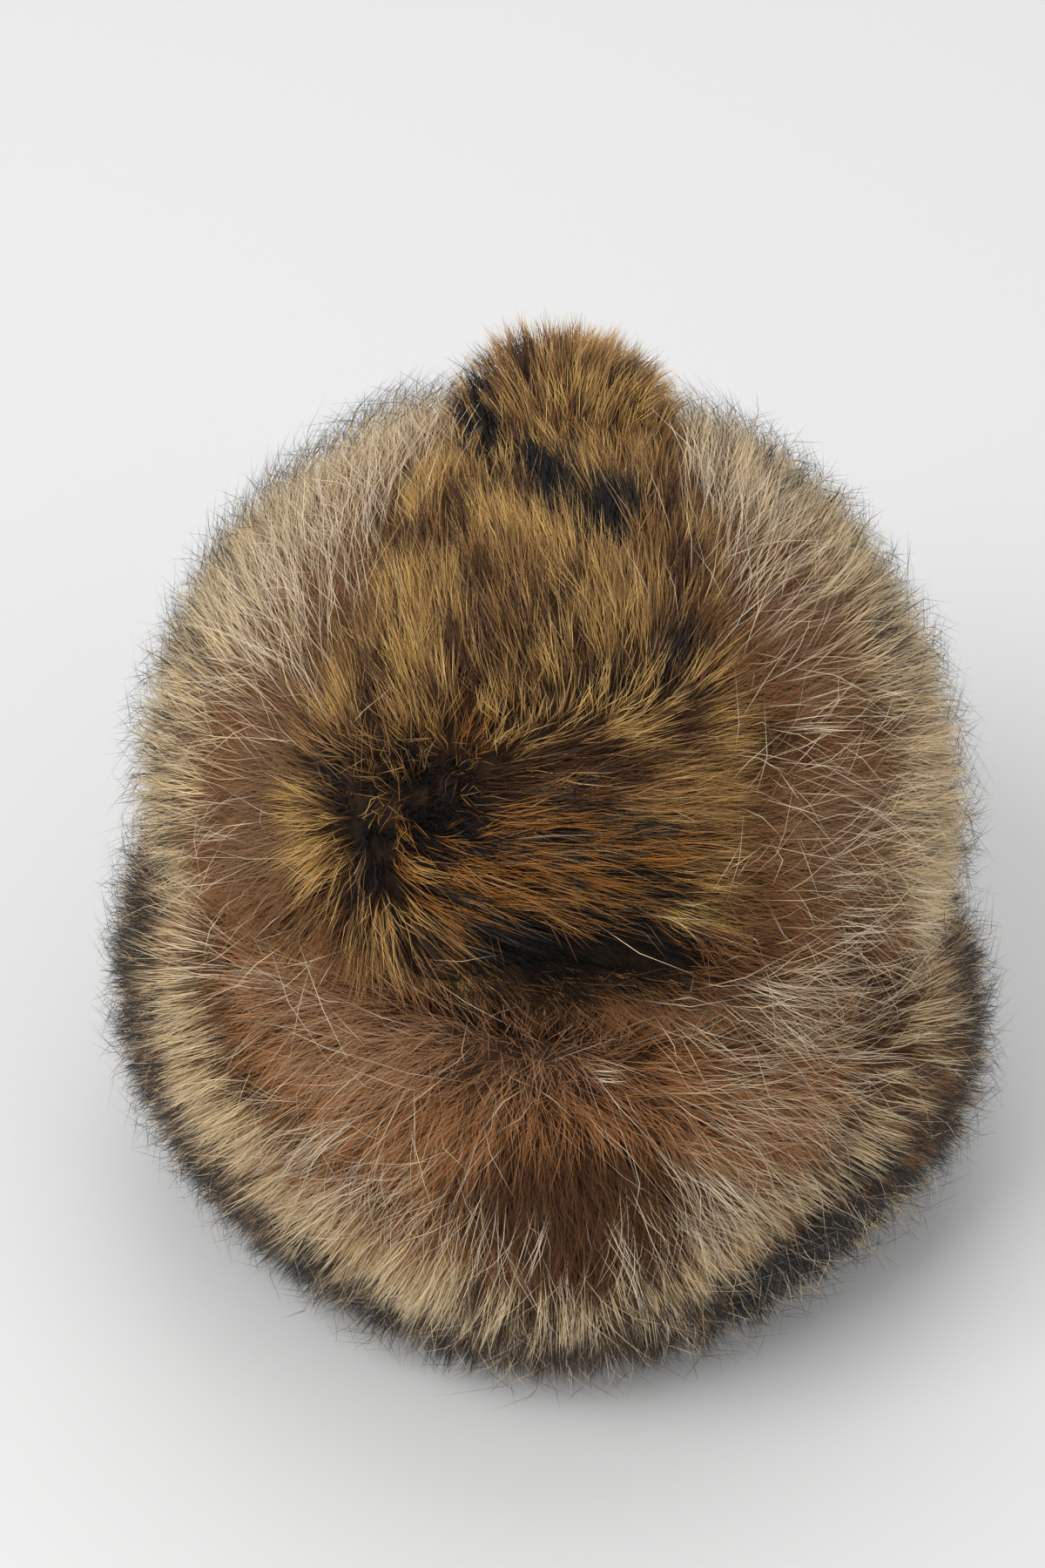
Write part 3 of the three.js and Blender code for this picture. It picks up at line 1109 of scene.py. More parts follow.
@dataclass
class StripPelt:
    """The hide of the marked strip, lying on the crown's pelt and raised at the knob."""

    form: HatForm
    under_depth: float = 0.0235
    depth: float = 0.006
    rows: int = 60
    columns: int = 30
    edge_drop: float = 0.008
    edge_width: float = 0.014
    settling_steps: int = 30
    finish: HideFinish = HideFinish(
        "strip_wool", linear(20, 14, 10), linear(58, 40, 26), 90, 800, 0.001, 0.95
    )
    # Painted shade: the walls round the strip's edge are near black, standing in for the shade under its lip.
    edge: HideFinish = HideFinish(
        "strip_wall_shade", linear(8, 6, 5), linear(26, 18, 12), 90, 800, 0.001, 0.95
    )

    def drop(self, flat: Array) -> Array:
        """How far the hide's edge bends down at places seen from above."""
        return self.edge_drop * (1.0 - smooth_step(self.form.strip_margin(flat), 0.0, self.edge_width))

    def on_face(self, flat: Array, reach_at: Callable[[Array], Array], depth: Array | float) -> Array:
        """Points over places seen from above, on a face of the crown.

        Args:
            flat: Places seen from above, one row each.
            reach_at: The face's reach from the crown's centre, by direction.
            depth: How far the points lie under that face.

        Returns:
            The points.
        """
        centre = self.form.centre
        rise = np.full(len(flat), 0.1)
        for _ in range(self.settling_steps):
            arm = np.column_stack([flat - centre[:2], rise])
            reach = reach_at(unit(arm))[:, 0] - depth
            level = np.sqrt(np.maximum(reach**2 - np.sum(arm[:, :2] ** 2, axis=1), 0.0))
            rise = 0.5 * rise + 0.5 * level
        return np.column_stack([flat, centre[2] + rise])

    def build(self) -> bpy.types.Object:
        """Makes the closed strip and dresses it, with near-black painted shade on its walls.

        Returns:
            The piece.
        """
        form = self.form
        outline = np.array(form.strip_rows)
        y = np.linspace(outline[0, 0], outline[-1, 0], self.rows)
        middle = np.interp(y, outline[:, 0], outline[:, 1])
        half = np.interp(y, outline[:, 0], outline[:, 2])
        across = np.linspace(-1, 1, self.columns)
        x = middle[:, None] + half[:, None] * across[None]
        flat = np.stack([x, np.broadcast_to(y[:, None], x.shape)], axis=-1).reshape(-1, 2)
        top = self.on_face(flat, form.strip_reach, self.depth + self.drop(flat))
        under = self.on_face(flat, form.crown_reach, self.under_depth)
        floor = form.parting_height(top) + 0.002
        under[:, 2] = np.maximum(under[:, 2], floor)
        top[:, 2] = np.maximum(top[:, 2], under[:, 2] + 0.001)
        count = len(flat)
        row, column = np.meshgrid(np.arange(self.rows - 1), np.arange(self.columns - 1), indexing="ij")
        corner = (row * self.columns + column).ravel()
        cells = np.stack([corner, corner + 1, corner + self.columns + 1, corner + self.columns], axis=-1)
        front = np.arange(self.columns)
        back = (self.rows - 1) * self.columns + front[::-1]
        right = np.arange(1, self.rows - 1) * self.columns + self.columns - 1
        left = np.arange(self.rows - 2, 0, -1) * self.columns
        loop = np.concatenate([front, right, back, left])
        after = np.roll(loop, -1)
        walls = np.stack([loop + count, after + count, after, loop], axis=-1)
        faces = np.concatenate([cells, cells[:, ::-1] + count, walls])
        made = link_mesh("strip_pelt", np.concatenate([top, under]), [faces], form)
        dress(made, "short_fur", self.finish.material(), self.edge.material())
        # The walls take the near-black painted shade.
        slots = np.zeros(len(faces), dtype=np.int32)
        slots[2 * len(cells) :] = 1
        made.data.polygons.foreach_set("material_index", slots)
        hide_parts("crown_strip")
        return made


@dataclass
class CuffPelt:
    """The dense roll of the cuff with its folded leather edge, which the hat stands on."""

    form: HatForm
    depth: float = 0.010
    columns: int = 112
    rows: int = 26
    inner_rows: int = 10
    section_end: float = 5.2
    leather_cover: float = 0.004
    edge_step: tuple[float, float] = (0.001, 0.002)
    roll_foot: float = 0.003
    top_step: float = 0.001
    finish: HideFinish = HideFinish(
        "cuff_wool", linear(46, 30, 22), linear(80, 56, 42), 60, 700, 0.0015, 0.95
    )
    edge: HideFinish = HideFinish("folded_edge", linear(140, 106, 76), linear(186, 152, 116), 30, 900, 0.0004)

    def build(self) -> bpy.types.Object:
        """Makes the closed roll and dresses it, with leather on the folded edge.

        Returns:
            The piece.
        """
        form = self.form
        angle = np.linspace(0, 2 * math.pi, self.columns, endpoint=False)
        wall = form.leather_radius(angle, np.zeros_like(angle)) + form.gap
        ring = np.stack([np.cos(angle), np.sin(angle)], axis=-1)

        def at(radius: Array, height: Array) -> Array:
            """Points at radii and heights, one for each column."""
            return np.concatenate([ring * radius[:, None], height[:, None]], axis=1)

        level = np.zeros_like(angle)
        edge_radius = wall + form.rim_width
        outward_step, upward_step = self.edge_step
        rows = [at(wall, level), at(edge_radius, level), at(edge_radius + outward_step, level + upward_step)]
        for along in np.linspace(0.0, self.section_end, self.rows):
            place = form.cuff_place(angle, np.full_like(angle, along))
            outward = form.cuff_outward(angle, np.full_like(angle, along))
            place = place - outward * self.depth
            least = form.leather_radius(angle, place[:, 2]) + self.leather_cover
            radius = np.maximum(np.hypot(place[:, 0], place[:, 1]), least)
            rows.append(at(radius, np.maximum(place[:, 2], self.roll_foot)))
        top = rows[-1][:, 2] - self.top_step
        for share in np.linspace(1.0, 0.0, self.inner_rows, endpoint=False):
            height = top * share
            rows.append(at(form.leather_radius(angle, height) + form.gap, height))
        vertices = np.stack(rows)
        count = len(rows)
        quads = grid_faces(count, self.columns, flip=False)
        column = np.arange(self.columns)
        after = (column + 1) % self.columns
        last = (count - 1) * self.columns
        closing = np.stack([last + column, last + after, after, column], axis=-1)
        made = link_mesh("cuff_pelt", vertices.reshape(-1, 3), [np.concatenate([quads, closing])], form)
        dress(made, "cuff_fur", self.finish.material(), self.edge.material())
        slots = np.zeros(len(made.data.polygons), dtype=np.int32)
        slots[: 2 * self.columns] = 1
        made.data.polygons.foreach_set("material_index", slots)
        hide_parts("cuff")
        return made


@dataclass
class CrownGrowth:
    """How hair is rooted and lies on the crown: it grows up and away from a line above the lip."""

    form: HatForm
    viewer: Viewer
    whorl: Place = (-0.057, -0.082, 0.243)
    line_end: Place = (0.033, -0.072, 0.262)
    lip_sweep: Place = (0.060, 0.0, 0.012)
    stand_radius: float = 0.03
    feather: float = 0.008
    knob_foot: Place = (0.000, 0.032, 0.294)
    knob_zone: float = 0.055

    def lie(self, place: Array, outward: Array) -> Array:
        """The way that the hair lies at each place, shorter where it stands up.

        Args:
            place: Points on the pelt.
            outward: The way out of the pelt at each.

        Returns:
            Directions along the pelt, of length one or less.
        """
        start, end = np.array(self.whorl), np.array(self.line_end)
        span = end - start
        share = np.clip((place - start) @ span / (span @ span), 0.0, 1.0)[:, None]
        from_line = place - (start + share * span)
        beside = smooth_step(place[:, :1] - start[0], -0.01, 0.02)
        from_whorl = place - start + np.array(self.lip_sweep) * beside
        over = smooth_step(from_line @ self.viewer.upward, -0.02, 0.015)[:, None]
        away = from_line * over + from_whorl * (1 - over)
        away = away - outward * dot(away, outward)
        size = np.linalg.norm(from_line * over + (place - start) * (1 - over), axis=1, keepdims=True)
        fan = place - np.array(self.knob_foot)
        fan = unit(fan - outward * dot(fan, outward))
        away = unit(unit(away) * (1.0 - self.near_knob(place)) + fan * self.near_knob(place))
        return away * (0.25 + 0.75 * smooth_step(size, 0.0, self.stand_radius))

    def near_knob(self, place: Array) -> Array:
        """How near to the knob's middle each place lies, as a column."""
        distance = np.linalg.norm(place - self.form.knob_place, axis=1, keepdims=True)
        return 1.0 - smooth_step(distance, self.knob_zone * 0.35, self.knob_zone)

    def ground(self, draws: int, depth: float, on_strip: bool, rng: np.random.Generator) -> Ground:
        """Evenly spread random places on the crown's long fur or on its strip, with a soft edge between them.

        Args:
            draws: How many places are drawn over the whole sphere before those outside are left out.
            depth: How far the places lie under the hair's tips.
            on_strip: Whether the places lie on the strip or beside it.
            rng: Source of the places.

        Returns:
            The ground at those places.
        """
        toward = unit(rng.normal(size=(draws, 3)))
        form = self.form
        reach_at = form.strip_reach if on_strip else form.crown_reach
        place = form.centre + toward * (reach_at(toward) - depth)
        nudge = 0.01
        steps = []
        for way in ways_along(toward):
            ahead = unit(toward + way * nudge)
            steps.append(form.centre + ahead * (reach_at(ahead) - depth) - place)
        outward = unit(np.cross(steps[0], steps[1]))
        over = place[:, 2] - form.parting_height(place) > (-0.002 if on_strip else 0.002)
        margin = form.strip_margin(place) + rng.normal(size=draws) * self.feather
        inside = over & ((margin > 0.0) if on_strip else (margin < 0.0))
        if on_strip:
            place = place - outward * StripPelt(form).drop(place[:, :2])[:, None]
        return Ground(place, outward, self.lie(place, outward)).chosen(inside)


@dataclass
class CuffGrowth:
    """How hair is rooted and lies on the cuff: it spreads from the top of its front, outwards and down."""

    form: HatForm
    away_from: Place = (0.0, -0.72, 0.69)

    def ground(self, draws: int, depth: float, rng: np.random.Generator) -> Ground:
        """Random places on the cuff, spread evenly over its face.

        Args:
            draws: How many places are drawn before the spread is evened out.
            depth: How far the places lie under the cuff's dense outline.
            rng: Source of the places.

        Returns:
            The ground at those places.
        """
        form = self.form
        angle = rng.uniform(0, 2 * math.pi, draws)
        along = rng.uniform(0.05, 5.35, draws)
        nearby = 0.02
        place = form.cuff_place(angle, along)
        climb = np.linalg.norm(form.cuff_place(angle, along + nearby) - place, axis=1)
        area = climb * np.hypot(place[:, 0], place[:, 1])
        kept = np.flatnonzero(rng.random(len(area)) < area / np.quantile(area, 0.98))
        place, outward = place[kept], form.cuff_outward(angle[kept], along[kept])
        away = -np.array(self.away_from)
        lie = away - outward * (outward @ away)[:, None]
        size = np.linalg.norm(lie, axis=1, keepdims=True)
        lie = lie / np.maximum(size, TINY) * smooth_step(size, -0.2, 0.75)
        place = place - outward * depth
        place[:, 2] = np.maximum(place[:, 2], 0.002)
        return Ground(place, outward, lie, 0.11)


WOOL_COLUMNS = (
    ((0.0, linear(74, 50, 34)), (0.4, linear(126, 91, 63)), (1.0, linear(180, 140, 104))),
    ((0.0, linear(62, 41, 25)), (0.4, linear(122, 82, 50)), (1.0, linear(174, 124, 82))),
    ((0.0, linear(30, 19, 12)), (0.5, linear(66, 43, 27)), (1.0, linear(104, 72, 48))),
    # Near-black wool: painted shade in the slit under the lip, and black wool near the lower right of the
    # outline.
    ((0.0, linear(7, 5, 4)), (0.5, linear(11, 8, 6)), (1.0, linear(20, 14, 10))),
)
GUARD_COLUMNS = (
    (
        (0.0, linear(66, 45, 30)),
        (0.35, linear(128, 98, 72)),
        (0.62, linear(222, 203, 174)),
        (1.0, linear(226, 208, 180)),
    ),
    (
        (0.0, linear(50, 33, 22)),
        (0.4, linear(98, 70, 46)),
        (0.58, linear(216, 188, 142)),
        (1.0, linear(226, 206, 168)),
    ),
    (
        (0.0, linear(52, 34, 22)),
        (0.3, linear(98, 68, 44)),
        (0.45, linear(212, 184, 138)),
        (0.58, linear(218, 190, 144)),
        (0.67, linear(62, 45, 38)),
        (0.78, linear(13, 10, 11)),
    ),
    (
        (0.0, linear(42, 28, 18)),
        (0.3, linear(86, 58, 36)),
        (0.5, linear(176, 138, 90)),
        (0.64, linear(110, 80, 52)),
        (0.72, linear(30, 22, 20)),
        (1.0, linear(14, 12, 13)),
    ),
    ((0.0, linear(40, 26, 18)), (0.5, linear(84, 58, 38)), (1.0, linear(54, 38, 28))),
    (
        (0.0, linear(42, 28, 18)),
        (0.28, linear(104, 76, 50)),
        (0.38, linear(176, 142, 98)),
        (0.5, linear(60, 42, 33)),
        (0.6, linear(16, 12, 12)),
        (1.0, linear(12, 9, 10)),
    ),
)
STRIP_COLUMNS = (
    (
        (0.0, linear(34, 24, 15)),
        (0.4, linear(106, 74, 38)),
        (0.72, linear(214, 172, 98)),
        (1.0, linear(216, 180, 116)),
    ),
    (
        (0.0, linear(30, 20, 13)),
        (0.42, linear(86, 58, 33)),
        (0.75, linear(176, 132, 76)),
        (1.0, linear(182, 144, 92)),
    ),
    (
        (0.0, linear(18, 11, 6)),
        (0.42, linear(70, 41, 17)),
        (0.75, linear(178, 114, 44)),
        (1.0, linear(196, 136, 62)),
    ),
    ((0.0, linear(20, 13, 8)), (0.5, linear(56, 33, 16)), (1.0, linear(96, 60, 29))),
    ((0.0, linear(6, 5, 4)), (0.5, linear(13, 11, 10)), (1.0, linear(25, 21, 20))),
)


@dataclass
class CrownHair:
    """The crown's long hair: fine wool all over, and guard hair round the outline that the viewer sees."""

    form: HatForm
    growth: CrownGrowth
    viewer: Viewer
    outline: Outline
    wool_clumps: int = 22000
    guard_clumps: int = 4500
    wool: HairStyle = HairStyle(
        length=0.018, rise=0.017, width=0.0003, per_clump=4, clump_spread=0.0018, gather=0.0, rings=3,
        stray=0.38, frizz=0.0012, roll_spread=0.6, uneven=0.25,
    )
    guard: HairStyle = HairStyle(
        length=0.040, rise=0.0275, width=0.00034, per_clump=8, clump_spread=0.0022, gather=0.75, stray=0.16,
        frizz=0.0005, rise_spread=0.32, uneven=0.2, tip_width=0.5,
    )
    wool_finish: HairFinish = HairFinish("crown_wool_hair", WOOL_COLUMNS, 0.7, (0.72, 0.96), 0.12)
    guard_finish: HairFinish = HairFinish("crown_guard_hair", GUARD_COLUMNS, 0.42)
    front_share: float = 0.02
    pinkish: tuple[Oval, ...] = (
        Oval((0.085, 0.170), (0.030, 0.024), 35),
        Oval((0.100, 0.112), (0.040, 0.024), 5),
        Oval((-0.100, 0.120), (0.030, 0.030), 0, 0.7),
    )
    pale: tuple[Oval, ...] = (
        Oval((-0.080, 0.215), (0.060, 0.050), -35, 0.8),
        Oval((-0.045, 0.262), (0.030, 0.016), 20, 0.9),
        Oval((0.068, 0.228), (0.028, 0.034), -20, 0.95),
        Oval((0.138, 0.125), (0.020, 0.060), 0, 0.7),
    )
    # Where the slit under the lip shows: the wool there is painted near black as shade, and guard hair is
    # left out.
    slit: Oval = Oval((0.006, 0.0630), (0.050, 0.0085), 2)
    band_width: float = 0.006
    tuft_size: float = 0.022
    low_shoulder: Oval = Oval((-0.060, 0.262), (0.060, 0.032), 28, 0.4)
    edge_width: float = 0.005
    light_edge: tuple[Oval, ...] = (
        Oval((-0.055, 0.262), (0.060, 0.034), 28, 0.75),
        Oval((0.142, 0.110), (0.032, 0.055), 0, 0.7),
    )

    def build_wool(self, rng: np.random.Generator) -> bpy.types.Object:
        """Makes the fine wool.

        Args:
            rng: Source of the random differences.

        Returns:
            The piece.
        """
        ground = self.growth.ground(self.wool_clumps * 4, CrownPelt.depth, False, rng)
        ground = ground.chosen(slice(0, self.wool_clumps))
        chart = self.viewer.chart(ground.place)
        pinkness = most_of(self.pinkish, chart, self.viewer.facing(ground.place, ground.outward))
        shade = ripple(ground.place, WOOL_BLOTCH, 41) + 1.6 * pinkness
        shade = shade + rng.normal(size=len(chart)) * WOOL_SPECKLE
        coats = np.where(shade > PINKISH_ABOVE, WoolCoat.PINKISH.value, WoolCoat.REDDISH.value)
        coats = np.where(shade < -0.7, WoolCoat.DARK.value, coats)
        # Painted shade: wool that shows inside the slit under the lip turns near black.
        shade_share = crossing(self.slit, ground, self.wool.length, self.wool.rise, self.viewer)
        coats = np.where(rng.random(len(chart)) < shade_share, WoolCoat.BLACK.value, coats)
        column, jitter = map_columns(coats, len(WoolCoat), rng)
        strands = self.wool.grow(ground, rng, column=column, jitter=jitter)
        made = strands.build("crown_wool_hair", self.form)
        dress(made, "long_fur", self.wool_finish.material())
        return made

    def build_guard(self, rng: np.random.Generator) -> bpy.types.Object:
        """Makes the guard hair.

        Args:
            rng: Source of the random differences.

        Returns:
            The piece.
        """
        ground = self.growth.ground(self.guard_clumps * 10, CrownPelt.depth, False, rng)
        facing = self.viewer.facing(ground.place, ground.outward)
        inside = self.outline.inside(ground.tips(self.guard.length, self.guard.rise))
        band = outline_band(inside, facing, self.band_width, rng)
        crowd = self.front_share + (1.0 - self.front_share) * band
        crowd = crowd * (1.0 - crossing(self.slit, ground, self.guard.length, self.guard.rise, self.viewer))
        kept = np.flatnonzero(rng.random(len(crowd)) < crowd)[: self.guard_clumps]
        ground, facing, inside, band = ground.chosen(kept), facing[kept], inside[kept], band[kept]
        chart = self.viewer.chart(ground.shown_at(self.guard.length, self.guard.rise))
        draw = rng.random(len(kept))
        at_edge = (inside + rng.normal(size=len(kept)) * 0.002 < self.edge_width) | (facing < 0.1)
        light_edge = np.max([oval.weight(chart) for oval in self.light_edge], axis=0)
        dark_share = (0.4 + 0.5 * ripple(ground.place, self.tuft_size, 23)) * (1.0 - light_edge)
        edge_coats = np.where(draw < dark_share, GuardCoat.BANDED.value, GuardCoat.CREAM.value)
        edge_coats = np.where(draw < 0.3 * dark_share, GuardCoat.GRIZZLED.value, edge_coats)
        coats = np.where(draw < 0.85, GuardCoat.CREAM.value, GuardCoat.DARK.value)
        marks = tuple(Mark(GuardCoat.PALE, oval) for oval in self.pale)
        coats = np.where(band < 0.3, GuardCoat.PALE.value, paint(coats, marks, chart, facing, rng))
        coats = np.where(at_edge, edge_coats, coats)
        column, jitter = map_columns(coats, len(GuardCoat), rng)
        tall = 1.0 + 0.12 * ripple(ground.place, 0.014, 18) - self.low_shoulder.weight(chart)
        strands = self.guard.grow(ground, rng, column=column, jitter=jitter, tall=tall)
        made = strands.build("crown_guard_hair", self.form)
        dress(made, "long_fur", self.guard_finish.material())
        return made


@dataclass
class StripHair:
    """The strip's marked hair, frizzy round the whorl and raised at the knob."""

    form: HatForm
    growth: CrownGrowth
    viewer: Viewer
    clumps: int = 5600
    root_depth: float = 0.0085
    hair: HairStyle = HairStyle(
        length=0.029, rise=0.011, width=0.00034, per_clump=7, clump_spread=0.0015, gather=0.65, stray=0.17,
        frizz=0.0005, rise_spread=0.45, uneven=0.25,
    )
    finish: HairFinish = HairFinish("strip_hair", STRIP_COLUMNS, 0.4, (0.65, 1.25), 0.25)
    blotch: float = 0.017
    knob_rise: float = 0.9
    lip_edge: tuple[float, float] = (0.066, 0.073)
    # Where the slit under the lip shows: the strip's hair there is painted black as shade.
    slit: Oval = Oval((0.006, 0.0650), (0.050, 0.0080), 2)
    tufts: tuple[Oval, ...] = (
        Oval((-0.083, 0.101), (0.012, 0.011), 0),
        Oval((-0.053, 0.070), (0.008, 0.009), 0),
    )
    knob_peak: Place = (-0.006, 0.088, 0.278)
    knob_zone: float = 0.052
    frizzy: tuple[Oval, ...] = (
        Oval((-0.062, 0.128), (0.036, 0.026), 0),
        Oval((-0.068, 0.085), (0.020, 0.030), 30, 0.5),
    )
    lip: Oval = Oval((-0.002, 0.090), (0.062, 0.034), -4)
    marks: tuple[Mark, ...] = (
        Mark(StripCoat.TAN, Oval((0.012, 0.262), (0.036, 0.022), 0, 0.8)),
        Mark(StripCoat.OCHRE, Oval((0.016, 0.270), (0.030, 0.012), 0, 0.45)),
        Mark(StripCoat.DARK, Oval((-0.004, 0.192), (0.016, 0.014), 0, 0.6)),
        Mark(StripCoat.DARK, Oval((-0.052, 0.218), (0.011, 0.010), 0, 0.85)),
        Mark(StripCoat.OCHRE, Oval((-0.054, 0.200), (0.009, 0.011), 0, 0.7)),
        Mark(StripCoat.OCHRE, Oval((-0.055, 0.182), (0.006, 0.012), 0, 0.85)),
        Mark(StripCoat.DARK, Oval((-0.038, 0.184), (0.005, 0.010), 0, 0.8)),
        Mark(StripCoat.OCHRE, Oval((-0.004, 0.222), (0.026, 0.008), -15, 0.7)),
        Mark(StripCoat.DARK, Oval((0.005, 0.131), (0.045, 0.012), 3, 0.85)),
        Mark(StripCoat.DARK, Oval((0.039, 0.181), (0.014, 0.008), 35, 0.7)),
        Mark(StripCoat.BLACK, Oval((0.020, 0.168), (0.013, 0.005), 18, 0.8)),
        Mark(StripCoat.BLACK, Oval((0.045, 0.176), (0.012, 0.005), 52, 0.95)),
        Mark(StripCoat.OCHRE, Oval((0.026, 0.158), (0.032, 0.008), 14, 0.9)),
        Mark(StripCoat.OCHRE, Oval((0.064, 0.175), (0.014, 0.008), 45, 0.6)),
        Mark(StripCoat.OCHRE, Oval((-0.022, 0.152), (0.006, 0.010), 0, 0.8)),
        Mark(StripCoat.BLACK, Oval((-0.002, 0.2426), (0.0205, 0.0105), -42)),
        Mark(StripCoat.BLACK, Oval((0.022, 0.2290), (0.0150, 0.0105), 20)),
        Mark(StripCoat.DARK, Oval((0.047, 0.2346), (0.007, 0.011), -20, 0.8)),
        Mark(StripCoat.BLACK, Oval((-0.0266, 0.2600), (0.0068, 0.0180), 8, 0.95)),
        Mark(StripCoat.ORANGE, Oval((-0.031, 0.140), (0.009, 0.008), 0, 0.35)),
        Mark(StripCoat.BLACK, Oval((-0.060, 0.126), (0.036, 0.022), -10, 0.72)),
        Mark(StripCoat.BLACK, Oval((-0.032, 0.113), (0.016, 0.009), 0, 0.9)),
        Mark(StripCoat.BLACK, Oval((-0.062, 0.100), (0.012, 0.012), 0, 0.95)),
        Mark(StripCoat.BLACK, Oval((-0.0585, 0.084), (0.006, 0.010), 15, 0.9)),
        Mark(StripCoat.BLACK, Oval((-0.066, 0.082), (0.012, 0.010), 0, 0.8)),
        Mark(StripCoat.OCHRE, Oval((-0.084, 0.101), (0.013, 0.011), 0, 0.8)),
        Mark(StripCoat.OCHRE, Oval((-0.053, 0.069), (0.008, 0.009), 0, 0.8)),
        Mark(StripCoat.OCHRE, Oval((0.052, 0.074), (0.014, 0.009), -20, 0.7)),
        # Painted shade: a band of black hair along the lip's front edge, over the shaded slit.
        Mark(StripCoat.BLACK, Oval((0.005, 0.0700), (0.048, 0.007), 2)),
    )

    def build(self, rng: np.random.Generator) -> bpy.types.Object:
        """Makes the strip's hair.

        Args:
            rng: Source of the random differences.

        Returns:
            The piece.
        """
        ground = self.growth.ground(self.clumps * 14, self.root_depth, True, rng)
        ground = ground.chosen(slice(0, self.clumps))
        chart = self.viewer.chart(ground.shown_at(self.hair.length, self.hair.rise))
        facing = self.viewer.facing(ground.place, ground.outward)
        draw = rng.normal(size=len(chart))
        shade = ripple(ground.place, self.blotch, 77) + 0.6 * ripple(ground.place, self.blotch / 3, 78)
        shade = shade + 0.35 * draw
        coats = np.where(shade > 0.45, StripCoat.OCHRE.value, StripCoat.TAN.value)
        coats = np.where(shade < -0.45, StripCoat.DARK.value, coats)
        fine_shade = ripple(ground.place, self.blotch / 2.5, 79) + 0.5 * draw
        lip_coats = np.where(fine_shade > 0.0, StripCoat.ORANGE.value, StripCoat.BLACK.value)
        lip_coats = np.where(draw > 1.4, StripCoat.TAN.value, lip_coats)
        coats = np.where(rng.random(len(chart)) < self.lip.weight(chart), lip_coats, coats)
        coats = paint(coats, self.marks, chart, facing, rng)
        edge = 1.0 - smooth_step(self.viewer.chart(ground.place)[:, 1], *self.lip_edge)
        # Painted shade: hair that reaches into the slit under the lip turns black.
        shaded = crossing(self.slit, ground, self.hair.length * 0.4, self.hair.rise * 0.4, self.viewer)
        coats = np.where(rng.random(len(chart)) < shaded, StripCoat.BLACK.value, coats)
        curl = most_of(self.frizzy, chart, facing) * (1.0 - edge)
        from_peak = np.linalg.norm(ground.place - np.array(self.knob_peak), axis=1)
        near_knob = 1.0 - smooth_step(from_peak, 0.0, self.knob_zone)
        tuft = most_of(self.tufts, chart, facing)
        golden = np.where(coats <= StripCoat.ORANGE.value, 1.0, -0.25)
        column, jitter = map_columns(coats, len(StripCoat), rng)
        strands = self.hair.grow(
            ground, rng, column=column, jitter=jitter, frizzy=1.0 + 4.0 * curl,
            tall=1.0 + 1.1 * curl * golden + self.knob_rise * near_knob - 0.5 * edge + 0.8 * tuft,
            long=1.0 - 0.4 * curl - 0.35 * near_knob - 0.7 * edge,
            wild=1.0 + curl,
        )
        made = strands.build("strip_hair", self.form)
        dress(made, "short_fur", self.finish.material())
        return made


